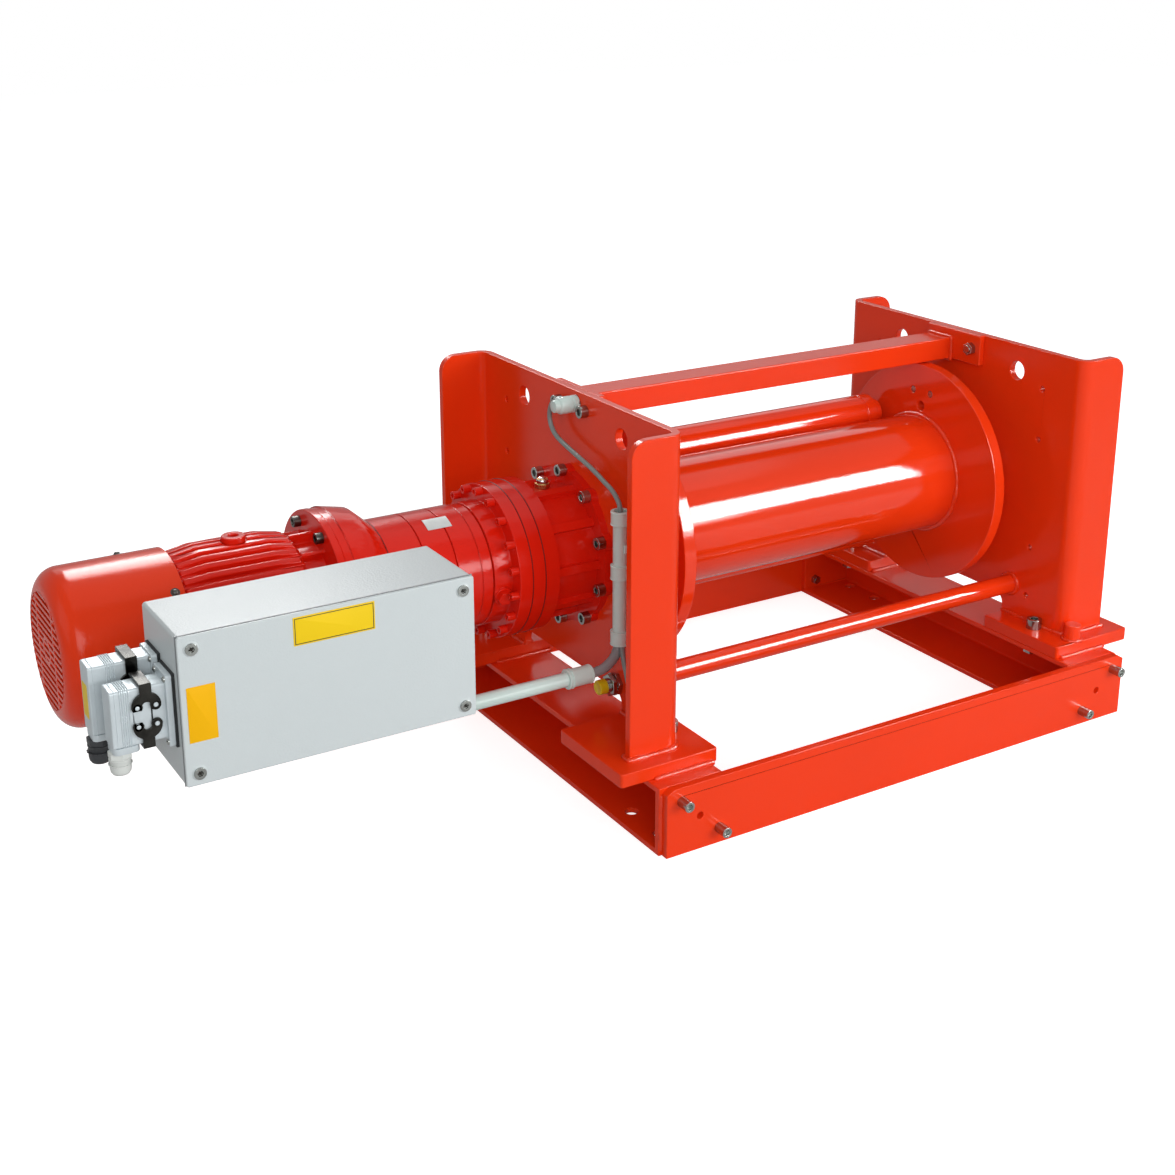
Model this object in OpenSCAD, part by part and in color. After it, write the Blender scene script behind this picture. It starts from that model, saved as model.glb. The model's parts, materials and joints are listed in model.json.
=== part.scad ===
// Electric rope winch: drum between two side frames on a base, gearbox and brake motor
// on the left, pressure roller behind the drum, control box on the motor.
// Frame: X along the drum axis away from the motor, -Y to the front, Z up.
// Origin: centre of the base on its underside. All lengths in millimetres.

/* [Base] */
// Reach of the base past the webs' inner faces
base_out = 67; // [60:1:75]
// Depth of the base over its two cross plates
base_w = 680; // [670:1:700]
// Height of the rails and cross plates
base_h = 100; // [94:1:110]
// Width of a rail over its flanges
rail_w = 108; // [104:1:112]
// Thickness of the bent rails
rail_t = 8; // [6:0.5:9]
// Outer bend radius of the rails
rail_bend_r = 12; // [10:0.5:14]
// Reach of the left rail past the cross plates
rail_tip_out = 5; // [2:1:8]
// Thickness of the cross plates
cross_t = 12; // [10:1:14]
// Length and height of the cut corners of a cross plate
cross_corner = [12, 7]; // [4:1:20]
// Thickness of the rails' end plates
rail_end_t = 10; // [8:1:12]
// Radius of the holes that hold the base down
base_hole_r = 9; // [7:0.5:10]
// Base holes from the base's ends
base_hole_in = 23; // [20:1:30]
// Span across the base of the outer base holes
base_hole_outer = 576; // [560:1:590]
// Span across the base of the inner base holes
base_hole_inner = 436; // [420:1:450]
// Thread of the cross plate screws
cross_screw_d = 10; // [8:1:10]
// Cross plate screws, from the base's ends and the floor
cross_screw_at = [[23, 80], [85, 24]];
// Length of the collars under the cross plate screws
cross_collar_l = 10; // [6:1:14]
// Drain hole in a cross plate, from its end and the floor
cross_hole_at = [54, 50];

/* [Side frames] */
// Clear distance between the two webs
frame_gap = 728; // [720:1:736]
// Thickness of the webs and their flanges
web_t = 12; // [10:1:12]
// Width of a side frame over its flanges
frame_w = 548; // [540:1:560]
// Room between drum flanges and cross bar
bar_room = 1.5; // [1:0.5:20]
// Depth of a side frame over web and flanges
frame_d = 84; // [80:1:90]
// Outer bend radius of the side frames
frame_bend_r = 22; // [18:1:24]
// Corner radius of the flanges at the top
flange_corner_r = 25; // [10:1:30]
// Width of the arch between the feet
arch_w = 280; // [260:1:290]
// Height of the arch between the feet
arch_h = 28; // [20:1:32]
// Corner radius of the arch
arch_r = 18; // [8:1:20]
// Radius of the lifting holes
lift_hole_r = 15; // [12:0.5:17]
// Distance between the lifting holes
lift_hole_span = 270; // [260:1:280]
// Drop of the lifting holes below the top edge
lift_hole_drop = 42; // [38:1:50]
// Radius of the small accessory holes
small_hole_r = 4.5; // [4.3:0.1:5]
// Distance across between the small holes
small_hole_span = 380; // [376:1:386]
// Heights of the small holes above and below the drum axis
small_hole_rise = [172, 90];
// Thickness of a foot plate
foot_t = 20; // [16:1:24]
// Length of a foot plate along the drum axis
foot_l = 156; // [150:1:160]
// Width of a foot plate across the drum axis
foot_w = 160; // [150:1:165]
// Reach of a foot plate inside the web
foot_in = 41; // [36:1:44]
// Foot plates' middle inside the flanges' outer faces
foot_side = 52; // [46:1:56]
// Corner radius of a foot plate
foot_corner_r = 5; // [2:1:10]
// Thread of the foot bolts
foot_bolt_d = 16; // [14:1:16]
// Foot bolts inside the flanges' outer faces
foot_bolt_side = 49; // [44:1:54]
// Inner foot bolts inside the web
foot_bolt_in = 13; // [13:0.5:16]
// Outer foot bolts outside the web
foot_bolt_out = 26; // [20:1:26]
// Radius of the round stub on one foot plate
stub_r = 13; // [10:0.5:13]
// Height of the round stub
stub_h = 25; // [20:1:30]

/* [Cross bar and rods] */
// Depth of the top cross bar
bar_w = 50; // [44:1:52]
// Height of the top cross bar
bar_h = 35; // [30:1:35]
// Wall of the top cross bar
bar_t = 4; // [3:0.5:5]
// Place of the cross bar behind the drum axis
bar_y = 30; // [26:1:32]
// Drop of the bar's top below the side frames' top
bar_drop = 15; // [15:1:20]
// Width, height and thickness of the bar's end plates
bar_plate = [122, 50, 10];
// Thread of the screws that hold the end plates
bar_screw_d = 12; // [10:1:12]
// Places of these screws across the drum axis
bar_screw_y = [-42, 28];
// Drop of these screws below the side frames' top
bar_screw_drop = 24; // [22:1:28]
// Radius of the tie rods
tie_r = 15; // [12:0.5:16]
// Places of the two tie rods across the drum axis
tie_y = [-156, 140];
// Height of the tie rods above the foot plates
tie_rise = 51; // [48:1:60]

/* [Drum] */
// Height of the drum axis above the foot plates
axis_rise = 213; // [208:1:225]
// Offset of the drum's middle along its axis
drum_x = 6; // [0:1:8]
// Radius of the barrel
barrel_r = 95; // [90:0.5:98]
// Wall of the barrel
barrel_t = 12; // [10:1:14]
// Mean room between a drum flange and its web
drum_room = 60; // [58:1:66]
// Radius of the drum flanges
drum_flange_r = 180.5; // [170:0.5:184]
// Thickness of the drum flanges
drum_flange_t = 20; // [16:1:22]
// Radius of the opening in a drum flange
drum_bore_r = 58; // [54:1:60]
// Radius and thickness of the hub plates on the drum flanges
hub_plate = [85, 16];
// Radius of the drive hub
hub_r = 50; // [46:1:54]
// Length of the drive hub past its plate
hub_l = 36; // [30:1:38]
// Thread of the hub screws
hub_screw_d = 12; // [10:1:12]
// Radius of the ring of hub screws
hub_screw_r = 71; // [70:0.5:72]
// Radius of the journal at the bearing
journal_r = 30; // [27:0.5:32]
// Outer radius of the drum bearing
bearing_r = 55; // [52:0.5:56]
// Width of the drum bearing
bearing_w = 28; // [24:1:28]
// Wall of the bearing housing
bearing_wall = 17; // [12:1:20]
// Thickness of the bearing housing's flange and wall
bearing_plate_t = 12; // [10:1:14]
// Place of the rope clamp from the drum axis
clamp_r = 135; // [128:1:140]
// Radius of the rope hole
rope_hole_r = 8; // [6:0.5:9]

/* [Pressure roller] */
// Radius of the roller
roller_r = 32; // [28:0.5:34]
// Room between the roller's ends and the drum flanges
roller_room = 28; // [24:1:34]
// Gap between roller and bare barrel
roller_gap = 1; // [0.8:0.1:2]
// Angle of the roller above the rear of the drum axis
roller_deg = 38.7; // [36:0.1:42]
// Radius of the roller's axle
roller_axle_r = 12; // [10:0.5:13]
// Gap between a roller end and its arm
arm_gap = 6; // [4:0.5:7]
// Thickness of an arm
arm_t = 10; // [8:1:12]
// Radius of the arm's end at the roller
arm_tip_r = 22; // [20:1:24]
// Radius of the arm's end at the pivot
arm_hub_r = 36; // [34:1:38]
// Width of the arm's bar
arm_w = 40; // [34:1:44]
// Place of the pivot across and above the drum axis
pivot_at = [215, -33];
// Radius of the pivot shaft
pivot_r = 15; // [13:0.5:15]
// Wall of the pivot bushes
bush_t = 3; // [2:0.5:3]
// Middle radius of the spring coils
spring_r = 25; // [24.5:0.1:26]
// Radius of the spring wire
spring_wire_r = 2.5; // [2:0.1:2.8]
// Number of spring coils
spring_turns = 8; // [5:1:9]
// Distance from coil to coil
spring_pitch = 6.2; // [6:0.1:7]
// Width of the collars that hold the springs
collar_w = 13; // [10:1:16]
// Swing that the slots in the arms leave free
slot_deg = 34; // [30:1:60]

/* [Gearbox] */
// Thickness of the gearbox flange
gb_flange_t = 11; // [10:1:14]
// Radius of the gearbox flange between its screws
gb_flange_r = 114; // [112:1:118]
// Radius of the ring of flange screws
gb_screw_r = 113; // [112:1:116]
// Number of flange screws
gb_screws = 10; // [8:1:12]
// Thread of the flange screws
gb_screw_d = 12; // [10:1:12]
// Radius of the lobes round the flange screws
gb_lobe_r = 15; // [13:0.5:16]
// Length of the ribbed cast section
gb_cast_l = 72; // [66:1:80]
// Radius of the cast section between its ribs
gb_core_r = 92; // [88:1:94]
// Radius of the ribs
gb_rib_r = 100; // [96:1:101]
// Width of the ribs
gb_rib_w = 12; // [8:1:16]
// Length of the rim behind the ring gear
gb_rim_l = 22; // [20:1:26]
// Radius of the rim, the ring gear and the stage flange
gb_rim_r = 111; // [110:0.5:114]
// Radius of the pilot bore in the webs
pilot_r = 62; // [61:0.5:66]
// Radius of the output shaft
output_r = 32; // [28:0.5:34]
// Width of the ring gear
ring_gear_l = 20; // [18:1:26]
// Width of the stage flange
stage_flange_l = 20; // [16:1:24]
// Number of ring gear screws
ring_screws = 18; // [12:1:20]
// Thread of the ring gear screws
ring_screw_d = 8; // [6:1:8]
// Radius of the ring of these screws
ring_screw_r = 104; // [102:0.5:105]
// Length of the stepped cylinders
stage_l = 172; // [160:1:180]
// Radius of the stepped cylinders
stage_r = 88; // [86:0.5:90]
// Depth of the recessed steps
stage_step = 3; // [1:0.5:4]
// Wall of the stepped cylinders
stage_t = 14; // [10:1:16]
// Gear module
gear_m = 4; // [3.8:0.05:4]
// Teeth of the sun gear
sun_teeth = 12; // [12:6:12]
// Teeth of a planet gear
planet_teeth = 15; // [15:6:15]
// Pressure angle of the teeth
press_deg = 25; // [22:1:27]
// Backlash taken from each flank
backlash = 0.15; // [0.1:0.05:0.3]

/* [Motor] */
// Length of the domed adapter
dome_l = 61; // [55:1:66]
// Largest radius of the adapter
dome_r = 118; // [116:0.5:120]
// Thickness of the adapter flange
dome_flange_l = 22; // [18:1:24]
// Radius of the ring of adapter bolts
adapter_bolt_r = 102; // [100:0.5:104]
// Thread of the adapter bolts
adapter_bolt_d = 10; // [8:1:10]
// Number of adapter bolts
adapter_bolts = 8; // [6:1:8]
// Length of the ribbed motor neck
neck_l = 32; // [28:1:36]
// Radius of the motor neck
neck_r = 78; // [74:1:82]
// Length of the finned motor housing
motor_l = 164; // [160:1:180]
// Radius over the fins
fin_r = 100; // [98:0.5:101]
// Height of the fins
fin_h = 9; // [6:0.5:10]
// Thickness of a fin
fin_t = 9; // [6:0.5:10]
// Number of fins
fins = 40; // [32:2:48]
// Wall of the motor housing
motor_t = 9; // [8:0.5:11]
// Radius of the motor shaft
shaft_r = 19; // [16:0.5:20]
// Length of the stator
stator_l = 110; // [90:1:115]
// Radial air gap between rotor and stator
air_gap = 1; // [0.8:0.1:1.5]
// Length of the fan cowl
cowl_l = 156; // [150:1:165]
// Radius of the fan cowl
cowl_r = 102; // [101.5:0.5:104]
// Sheet thickness of the cowl
cowl_t = 3; // [2:0.5:3]
// Shoulder radius of the cowl
cowl_corner_r = 28; // [20:1:32]
// Radius of the grille
grille_r = 74; // [68:1:74]
// Distance from slat to slat
slat_pitch = 9; // [8:0.5:11]
// Height of a slat
slat_h = 4.4; // [3:0.2:5]
// Number of fan blades
fan_blades = 8; // [6:1:10]
// Lifting eye from the motor's front end
eye_u = 74; // [70:1:84]

/* [Control box] */
// Length, depth and height of the box with its cover
box = [352, 120, 175];
// Distance of the box from the left web
box_u = 345; // [340:1:352]
// Cover's face in front of the drum axis
box_front = 362; // [358:1:370]
// Drop of the box's floor below the drum axis
box_drop = 38; // [34:1:42]
// Sheet thickness of the box
box_t = 3; // [2:0.5:3.5]
// Thickness of the cover
cover_t = 5; // [4:0.5:6]
// Corner radius of the box
box_corner_r = 4; // [2:0.5:6]
// Cover screws from the edges
cover_screw_in = 15; // [14:0.5:18]
// Thread of the cover screws
cover_screw_d = 6; // [5:0.5:6]
// Terminal box from the motor's front end
terminal_u = 4; // [3:1:12]
// Length and height of the terminal box
terminal = [100, 90];
// Wall of the terminal box
terminal_t = 6; // [4:0.5:8]

/* [Connectors] */
// Width across and height of a connector base
plug_base = [42, 84];
// Thickness of the gasket under a base
gasket_t = 3; // [2:0.5:4]
// Reach of a base from the box
plug_base_l = 25; // [24:0.5:28]
// Places of the connectors, across and above the drum axis
plug_at = [[-324, 48], [-277, 54]];
// Width, height and length of the front hood
hood_front = [30, 66, 44];
// Width, height and length of the rear hood
hood_rear = [31, 80, 53];
// Radius of the locking pegs
peg_r = 2.6; // [2.4:0.1:3]
// Distance from peg to peg
peg_span = 20; // [19:0.5:24]
// Pegs from the connector's middle line
peg_rise = 11; // [9.5:0.5:13]
// Thickness of a lever's cheeks
lever_t = 3; // [2:0.2:3.4]
// Outer radius of a lever's hook
lever_r = 16; // [15:0.5:18]
// Radius of the cable glands
gland_r = 12; // [9:0.5:14]
// Length of the cable glands
gland_l = 35; // [20:1:38]

/* [Conduits and sensors] */
// Radius of the rigid conduits
conduit_r = 10; // [8:0.5:10.5]
// Wall of the conduits
conduit_t = 1.5; // [1:0.1:2]
// Radius of the conduit couplers
coupler_r = 13; // [12:0.5:14]
// Upright conduit, outside the web and across the axis
upright_at = [14, -156];
// Heights of the upright conduit's ends
upright_z = [115, 310];
// Level conduit, across the axis and above the foot plates
level_at = [-165, 85];
// Level conduit's open end from the web
level_u = 67; // [64:1:72]
// Level conduit's upright run from the web
rise_u = 404; // [400:1:410]
// Bend radius of the conduit
conduit_bend = 30; // [25:1:34]
// Conduit's entry into the box, above the foot plates
entry_rise = 205; // [200:1:212]
// Radius of the flexible hose
hose_r = 7; // [6:0.2:7.4]
// Radius of the cables
cable_r = 3.5; // [2.5:0.1:3.8]
// Radius of the proximity sensor
sensor_r = 9; // [8:0.5:10]
// Proximity sensor, across the axis and above the foot plates
sensor_at = [-128, 40];
// Reach of the sensor outside the web
sensor_out = 32; // [28:1:38]
// Reach of the sensor inside the web
sensor_in = 14; // [12:1:20]
// Radius of the plug on the web
sensor_plug_r = 12.5; // [11:0.5:13]
// Length of the plug on the web
sensor_plug_l = 40; // [36:1:44]
// Plug, across the axis and below the side frames' top
sensor_plug_at = [-17, -18];

/* [Hidden] */
$fn = 64;

// Overrun of every cut
over = 1;
// Radial play of screws in their holes
screw_gap = 0.5;
// Radial play of pieces that are fitted to each other
fit_gap = 0.05;
// Radial play of pieces that turn on each other
run_gap = 0.08;
// Cap screws and hexagon nuts as shares of their thread
cap_head_r_share = 0.75;
socket_r_share = 0.46;
socket_floor_share = 0.5;
nut_r_share = 0.87;
nut_h_share = 0.8;

// Base
base_l = frame_gap + 2 * base_out;
base_hole_x = base_l / 2 - base_hole_in;
cross_screws = [for (at = cross_screw_at) [base_l / 2 - at[0], at[1]]];
rail_l = base_w - 2 * cross_t;
foot_z = base_h;
frame_z = base_h + foot_t;
axis_z = frame_z + axis_rise;
frame_top = axis_z + drum_flange_r + bar_room + bar_h + bar_drop;
frame_h = frame_top - frame_z;
left_rail_x = -base_l / 2 - rail_tip_out;
right_rail_x = base_l / 2 - rail_w;
cross_collar_wall = 2.5;
cross_collar_r = cross_screw_d / 2 + cross_collar_wall;
cross_hole_r = 5;
cross_nut_h = cross_screw_d * nut_h_share;

// Side frames
web_in = frame_gap / 2;
web_out = web_in + web_t;
foot_y = frame_w / 2 - foot_side;
foot_bolt_y = frame_w / 2 - foot_bolt_side;
foot_x0 = web_in - foot_in;
foot_bolt_x = [web_in - foot_bolt_in, web_out + foot_bolt_out];
foot_nut_h = foot_bolt_d * nut_h_share;
stub_gap = 1;
stub_out = 6;
stub_at = [web_in + stub_out, frame_w / 2 + stub_r + stub_gap];

// Drum
drum_w = frame_gap - 2 * (drum_room + drum_flange_t);
drum_left = drum_x - drum_w / 2;
drum_right = drum_x + drum_w / 2;
hub_screws = 6;
hub_plate_r = hub_plate[0];
hub_plate_t = hub_plate[1];
hub_screw_short = 4;
hub_screw_grip = hub_plate_t + drum_flange_t - hub_screw_short;
clamp_size = [24, 64, 10];
clamp_screw_d = 10;
clamp_screw_y = 20;
bearing_in = 6;
bearing_end_gap = 6;
bearing_x = web_out + bearing_in;
journal_end = bearing_x + bearing_w + bearing_end_gap / 2;
journal_gap = 6;
bearing_flange_r = gb_screw_r + gb_screw_d * cap_head_r_share;
bearing_race_t = 8;
bearing_balls = 12;

// Pressure roller
roller_l = drum_w - 2 * roller_room;
roller_ring = barrel_r + roller_r + roller_gap;
roller_y = roller_ring * cos(roller_deg);
roller_z = axis_z + roller_ring * sin(roller_deg);
pivot_y = pivot_at[0];
pivot_z = axis_z + pivot_at[1];
arm_l = norm([roller_y - pivot_y, roller_z - pivot_z]);
arm_deg = atan2(roller_z - pivot_z, roller_y - pivot_y);
arm_right_x = drum_x + roller_l / 2 + arm_gap;
arm_left_x = drum_x - roller_l / 2 - arm_gap - arm_t;
spring_seat = 0.3;
spring_bend = 4;
spring_l = spring_turns * spring_pitch;
spring_reach = spring_l + 2 * spring_bend;
spring_turn = spring_bend / spring_r * 180 / PI;
collar_lip = 1.5;
collar_r = spring_r + spring_wire_r + collar_lip;
tang_gap = 0.5;
bush_r = pivot_r + bush_t;
roller_groove = [24, 4, 2];

// Gearbox, measured along u outwards from the left web
u_cast = gb_flange_t;
u_rim = u_cast + gb_cast_l;
u_ring = u_rim + gb_rim_l;
u_stage_flange = u_ring + ring_gear_l;
u_stage = u_stage_flange + stage_flange_l;
u_dome = u_stage + stage_l;
u_dome_flange = u_dome + dome_l;
u_neck = u_dome_flange + dome_flange_l;
u_motor = u_neck + neck_l;
u_cowl = u_motor + motor_l;
u_end = u_cowl + cowl_l;
gb_bore_r = 56;
orbit_r = gear_m * (sun_teeth + planet_teeth) / 2;
carrier_t = 12;
carrier_gap = 3;
carrier_rim = 22;
carrier_r = orbit_r + carrier_rim;
carrier_u = u_ring - carrier_gap - carrier_t;
output_u = drum_flange_t - drum_left - web_out;
pin_r = 9;
ring_teeth = sun_teeth + 2 * planet_teeth;
planets = 3;
tip_share = 0.8;
root_share = 1;
flank_steps = 3;
gear_side_gap = 1;
stage_seam = 1.5;
stage_seam_shares = [0.157, 0.256, 0.459, 0.709];
sun_shaft_r = 14;
input_disc_gap = 6;
input_disc_r = stage_r - stage_t - input_disc_gap;
input_disc_t = 20;
ring_washer_t = 4;
plug_deg = -14;
plug_boss_r = 13;
plug_boss_out = 2;
plug_thread_r = 7;
plug_head = [11, 7];
breather_hex_r = 11;
breather_r = 8;
breather_h = 14;

// Motor
dome_lip = 2;
dome_shoulder_share = 0.43;
dome_shoulder_r = 111;
dome_bore_r = 62;
dome_cavity_r = 87;
neck_ribs = 12;
neck_rib_t = 6;
coupling_r = 38;
coupling_l = 60;
coupling_gap = 4;
fin_end_gap = 4;
fin_root = 2;
fin_drop = 6;
fin_run = 34;
pad_rim = 4;
bearing_gap = 4;
core_r = fin_r - fin_h;
motor_bore_r = core_r - motor_t;
rotor_core_r = 48;
stator_r = rotor_core_r + air_gap;
motor_bearing_r = 36;
motor_bearing_w = 20;
brake_r = 72;
brake_l = 34;
fan_r = 84;
fan_hub_r = 26;
fan_l = 34;
fan_blade_t = 3;
fan_gap = 22;
fan_u = u_cowl + brake_l + fan_gap;
shaft_stub = 8;
shaft_end_u = fan_u + fan_l + shaft_stub;
brake_gap = 2;
cowl_seat_r = 86;
slat_rib_share = 0.86;
eye_r = 15.5;
eye_hole_r = 6.5;
eye_rise = 6;
eye_seat_r = 16.5;
eye_seat = 3;
eye_x = -web_out - u_motor - eye_u;

// Control box
box_right = -web_out - box_u;
box_left = box_right - box[0];
box_back = -box_front + box[1];
box_z = axis_z - box_drop;
cover_back = -box_front + cover_t;
box_depth = box[1] - cover_t;
min_round_r = 0.5;
post_s = 18;
seal_t = 2;
seal_w = 8;
cover_head_r = 7;
cover_head_h = 3;
cover_screw_l = 26;
cover_screw_x = [box_left + cover_screw_in, box_right - cover_screw_in];
cover_screw_z = [box_z + cover_screw_in, box_z + box[2] - cover_screw_in];
terminal_x = -web_out - u_motor - terminal_u - terminal[0];
terminal_z = axis_z - terminal[1] / 2;
pad_depth = 6;
pad_y = -(fin_r - pad_depth);
wire_hole_r = 20;
gear_plate_t = 3;
gear_plate_in = 40;
contactors = 3;
contactor = [45, 60, 76];
contactor_pitch = 58;

// Connectors
peg_in = 4;
peg_x = [box_left - plug_base_l + peg_in, box_left - plug_base_l + peg_in - peg_span];
peg_out = 1;
plug_flange_t = 7;
plug_round_r = 3;
plug_bore = [8, 20];
hood_end_t = 6;
hoods = [hood_front, hood_rear];
lever_hook_in = 5;
lever_end_r = 6;
lever_strap_w = 13;
lever_gap = 0.5;
hook_gap = 1.6;
lever_bridge_t = 4;
gland_in = 10;
gland_nut_r = 14;
entry_gap = 0.4;

// Conduits, sensors and cable routes
upright_x = -web_out - upright_at[0];
upright_y = upright_at[1];
upright_lo = frame_z + upright_z[0];
upright_hi = frame_z + upright_z[1];
level_y = level_at[0];
level_z = frame_z + level_at[1];
level_x = -web_out - level_u;
rise_x = -web_out - rise_u;
entry_z = frame_z + entry_rise;
coupler_l = 38;
clip_w = 12;
sensor_y = sensor_at[0];
sensor_z = frame_z + sensor_at[1];
sensor_nut_r = 14;
sensor_nut_h = 5;
plug_y = sensor_plug_at[0];
plug_z = frame_top + sensor_plug_at[1];
plug_arm_r = 8;
plug_arm_l = 22;
plug_arm_in = 17;
hose_route = [[-447, -165, 205], [-435, -165, 205], [-421, -164, 207], [-408, -161, 212],
    [-398, -157, 218], [-392, -154, 226], [-390.5, -153, 234.6]];
plug_route = [[-390, -156, 428], [-391, -154, 440], [-392, -140, 453], [-393, -120, 461],
    [-393, -84, 472], [-393, -29, 484], [-393, 6, 493], [-393, 22, 503], [-393, 29, 516],
    [-393, 28, 530], [-393, 21, 542], [-393, 12, 547], [-393, 5.5, 547]];
sensor_route = [[-349.6, -128, 160], [-347.4, -128, 160], [-345, -128.2, 159.6],
    [-340, -131, 154], [-339, -140, 147],
    [-339, -156, 145], [-339, -172, 147], [-341, -184, 154], [-347, -190, 160],
    [-356, -190, 161], [-378, -190, 161], [-386, -188, 166], [-390, -182, 178],
    [-391, -174, 200], [-391, -166, 220], [-391, -164.4, 234.6]];

// Frames for pieces that lie along the drum axis
module along_x(x, y = 0, z = 0) translate([x, y, z]) rotate([90, 0, 90]) children();
module on_axis(x) along_x(x, 0, axis_z) children();
module gear_side(u) translate([-web_out - u, 0, axis_z]) rotate([90, 0, -90]) children();
module away_y(y) translate([0, y, 0]) rotate([90, 0, 0]) children();
module both_sides() {
    children();
    mirror([0, 1, 0]) children();
}

module hole(r, h) translate([0, 0, -over]) cylinder(r = r, h = h + 2 * over);

module ring(h, outer_r, inner_r) {
    difference() {
        cylinder(r = outer_r, h = h);
        hole(inner_r, h);
    }
}

module around(count, r, start = 0) {
    for (i = [0:count - 1]) rotate([0, 0, start + i * 360 / count]) translate([r, 0, 0]) children();
}

module round_rect(size, r) {
    w = size[0];
    h = size[1];
    translate([r, 0]) square([w - 2 * r, h]);
    translate([0, r]) square([w, h - 2 * r]);
    for (x = [r, w - r], y = [r, h - r]) translate([x, y]) circle(r = r);
}

function hole_r(thread) = thread / 2 + screw_gap;

// Cap screw whose head stands on z 0 and whose shank reaches down by its grip
module cap_screw(thread, grip) {
    difference() {
        union() {
            cylinder(r = thread * cap_head_r_share, h = thread);
            translate([0, 0, -grip]) cylinder(r = thread / 2, h = grip + over);
        }
        translate([0, 0, thread * socket_floor_share])
            cylinder(r = thread * socket_r_share, h = thread, $fn = 6);
    }
}

module nut(thread) {
    difference() {
        rotate([0, 0, 30]) cylinder(r = thread * nut_r_share, h = thread * nut_h_share, $fn = 6);
        hole(thread / 2 + fit_gap, thread);
    }
}

function unit(v) = v / norm(v);
function tangent(p, i) = unit(p[min(i + 1, len(p) - 1)] - p[max(i - 1, 0)]);
function ring_point(p, i, side, sides, r, guide) =
    let (t = tangent(p, i), n = unit(cross(t, guide)), b = cross(t, n), a = side * 360 / sides)
    p[i] + r * (cos(a) * n + sin(a) * b);

// Closed tube along a route; no stretch of it follows the guide
module swept_tube(route, r, sides, guides) {
    last = len(route) - 1;
    points = [for (i = [0:last], s = [0:sides - 1]) ring_point(route, i, s, sides, r, guides[i])];
    walls = [for (i = [0:last - 1], s = [0:sides - 1]) let (t = (s + 1) % sides, a = i * sides)
        each [[a + s, a + sides + s, a + t], [a + t, a + sides + s, a + sides + t]]];
    ends = [for (s = [1:sides - 2])
        each [[0, s, s + 1], [last * sides, last * sides + s + 1, last * sides + s]]];
    polyhedron(points = points, faces = concat(walls, ends), convexity = 6);
}

function curve_point(a, b, c, d, t) =
    (2 * b + (c - a) * t + (2 * a - 5 * b + 4 * c - d) * t ^ 2 + (3 * b - a - 3 * c + d) * t ^ 3) / 2;
function smooth_route(p, steps) = concat([for (i = [0:len(p) - 2], k = [0:steps - 1])
    curve_point(p[max(i - 1, 0)], p[i], p[i + 1], p[min(i + 2, len(p) - 1)], k / steps)],
    [p[len(p) - 1]]);

module cable(route, r, guide) {
    smooth = smooth_route(route, 3);
    swept_tube(smooth, r, 8, [for (p = smooth) guide]);
}

// Base
module rail_outline(size, r) {
    w = size[0];
    h = size[1];
    square([w - r, h]);
    translate([0, r]) square([w, h - 2 * r]);
    for (y = [r, h - r]) translate([w - r, y]) circle(r = r);
}

module rail(x) {
    difference() {
        translate([x, 0, 0]) union() {
            away_y(rail_l / 2) linear_extrude(rail_l) difference() {
                rail_outline([rail_w, base_h], rail_bend_r);
                translate([-over, rail_t])
                    rail_outline([rail_w - rail_t + over, base_h - 2 * rail_t], rail_bend_r - rail_t);
            }
            both_sides() away_y(rail_end_t - rail_l / 2) translate([0, rail_t / 2])
                linear_extrude(rail_end_t) square([rail_w - rail_t / 2, base_h - rail_t]);
        }
        rail_holes();
    }
}

module rail_holes() {
    for (x = [-1, 1], y = [-1, 1]) {
        for (span = [base_hole_outer, base_hole_inner])
            translate([x * base_hole_x, y * span / 2, 0]) hole(base_hole_r, rail_t);
        for (bx = foot_bolt_x)
            translate([x * bx, y * foot_bolt_y, base_h - rail_t]) hole(hole_r(foot_bolt_d), rail_t);
        for (at = cross_screws)
            translate([x * at[0], y * rail_l / 2, at[1]]) rotate([90, 0, 0])
                cylinder(r = hole_r(cross_screw_d), h = 2 * rail_end_t + 2 * over, center = true);
    }
}

module left_rail() {
    color("#c8281a") rail(left_rail_x);
}

module right_rail() {
    color("#c8281a") rail(right_rail_x);
}

module cross_plate() {
    difference() {
        away_y(-base_w / 2 + cross_t) linear_extrude(cross_t) polygon([[-base_l / 2, 0],
            [base_l / 2, 0], [base_l / 2, base_h - cross_corner[1]],
            [base_l / 2 - cross_corner[0], base_h], [cross_corner[0] - base_l / 2, base_h],
            [-base_l / 2, base_h - cross_corner[1]]]);
        for (x = [-1, 1]) {
            for (at = cross_screws) cross_cut([x * at[0], at[1]], hole_r(cross_screw_d));
            cross_cut([x * (base_l / 2 - cross_hole_at[0]), cross_hole_at[1]], cross_hole_r);
        }
    }
}

module cross_cut(at, r) {
    translate([at[0], -base_w / 2, at[1]]) rotate([-90, 0, 0]) hole(r, cross_t);
}

module cross_plates() {
    color("#d8301c") both_sides() cross_plate();
}

module cross_plate_screws() {
    grip = cross_collar_l + cross_t + rail_end_t + cross_nut_h + over;
    color("silver") both_sides() for (x = [-1, 1], at = cross_screws)
        translate([x * at[0], -base_w / 2, at[1]]) rotate([90, 0, 0]) {
            translate([0, 0, cross_collar_l]) cap_screw(cross_screw_d, grip);
            ring(cross_collar_l, cross_collar_r, cross_screw_d / 2 + fit_gap);
            translate([0, 0, -cross_t - rail_end_t - cross_nut_h]) nut(cross_screw_d);
        }
}

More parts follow.
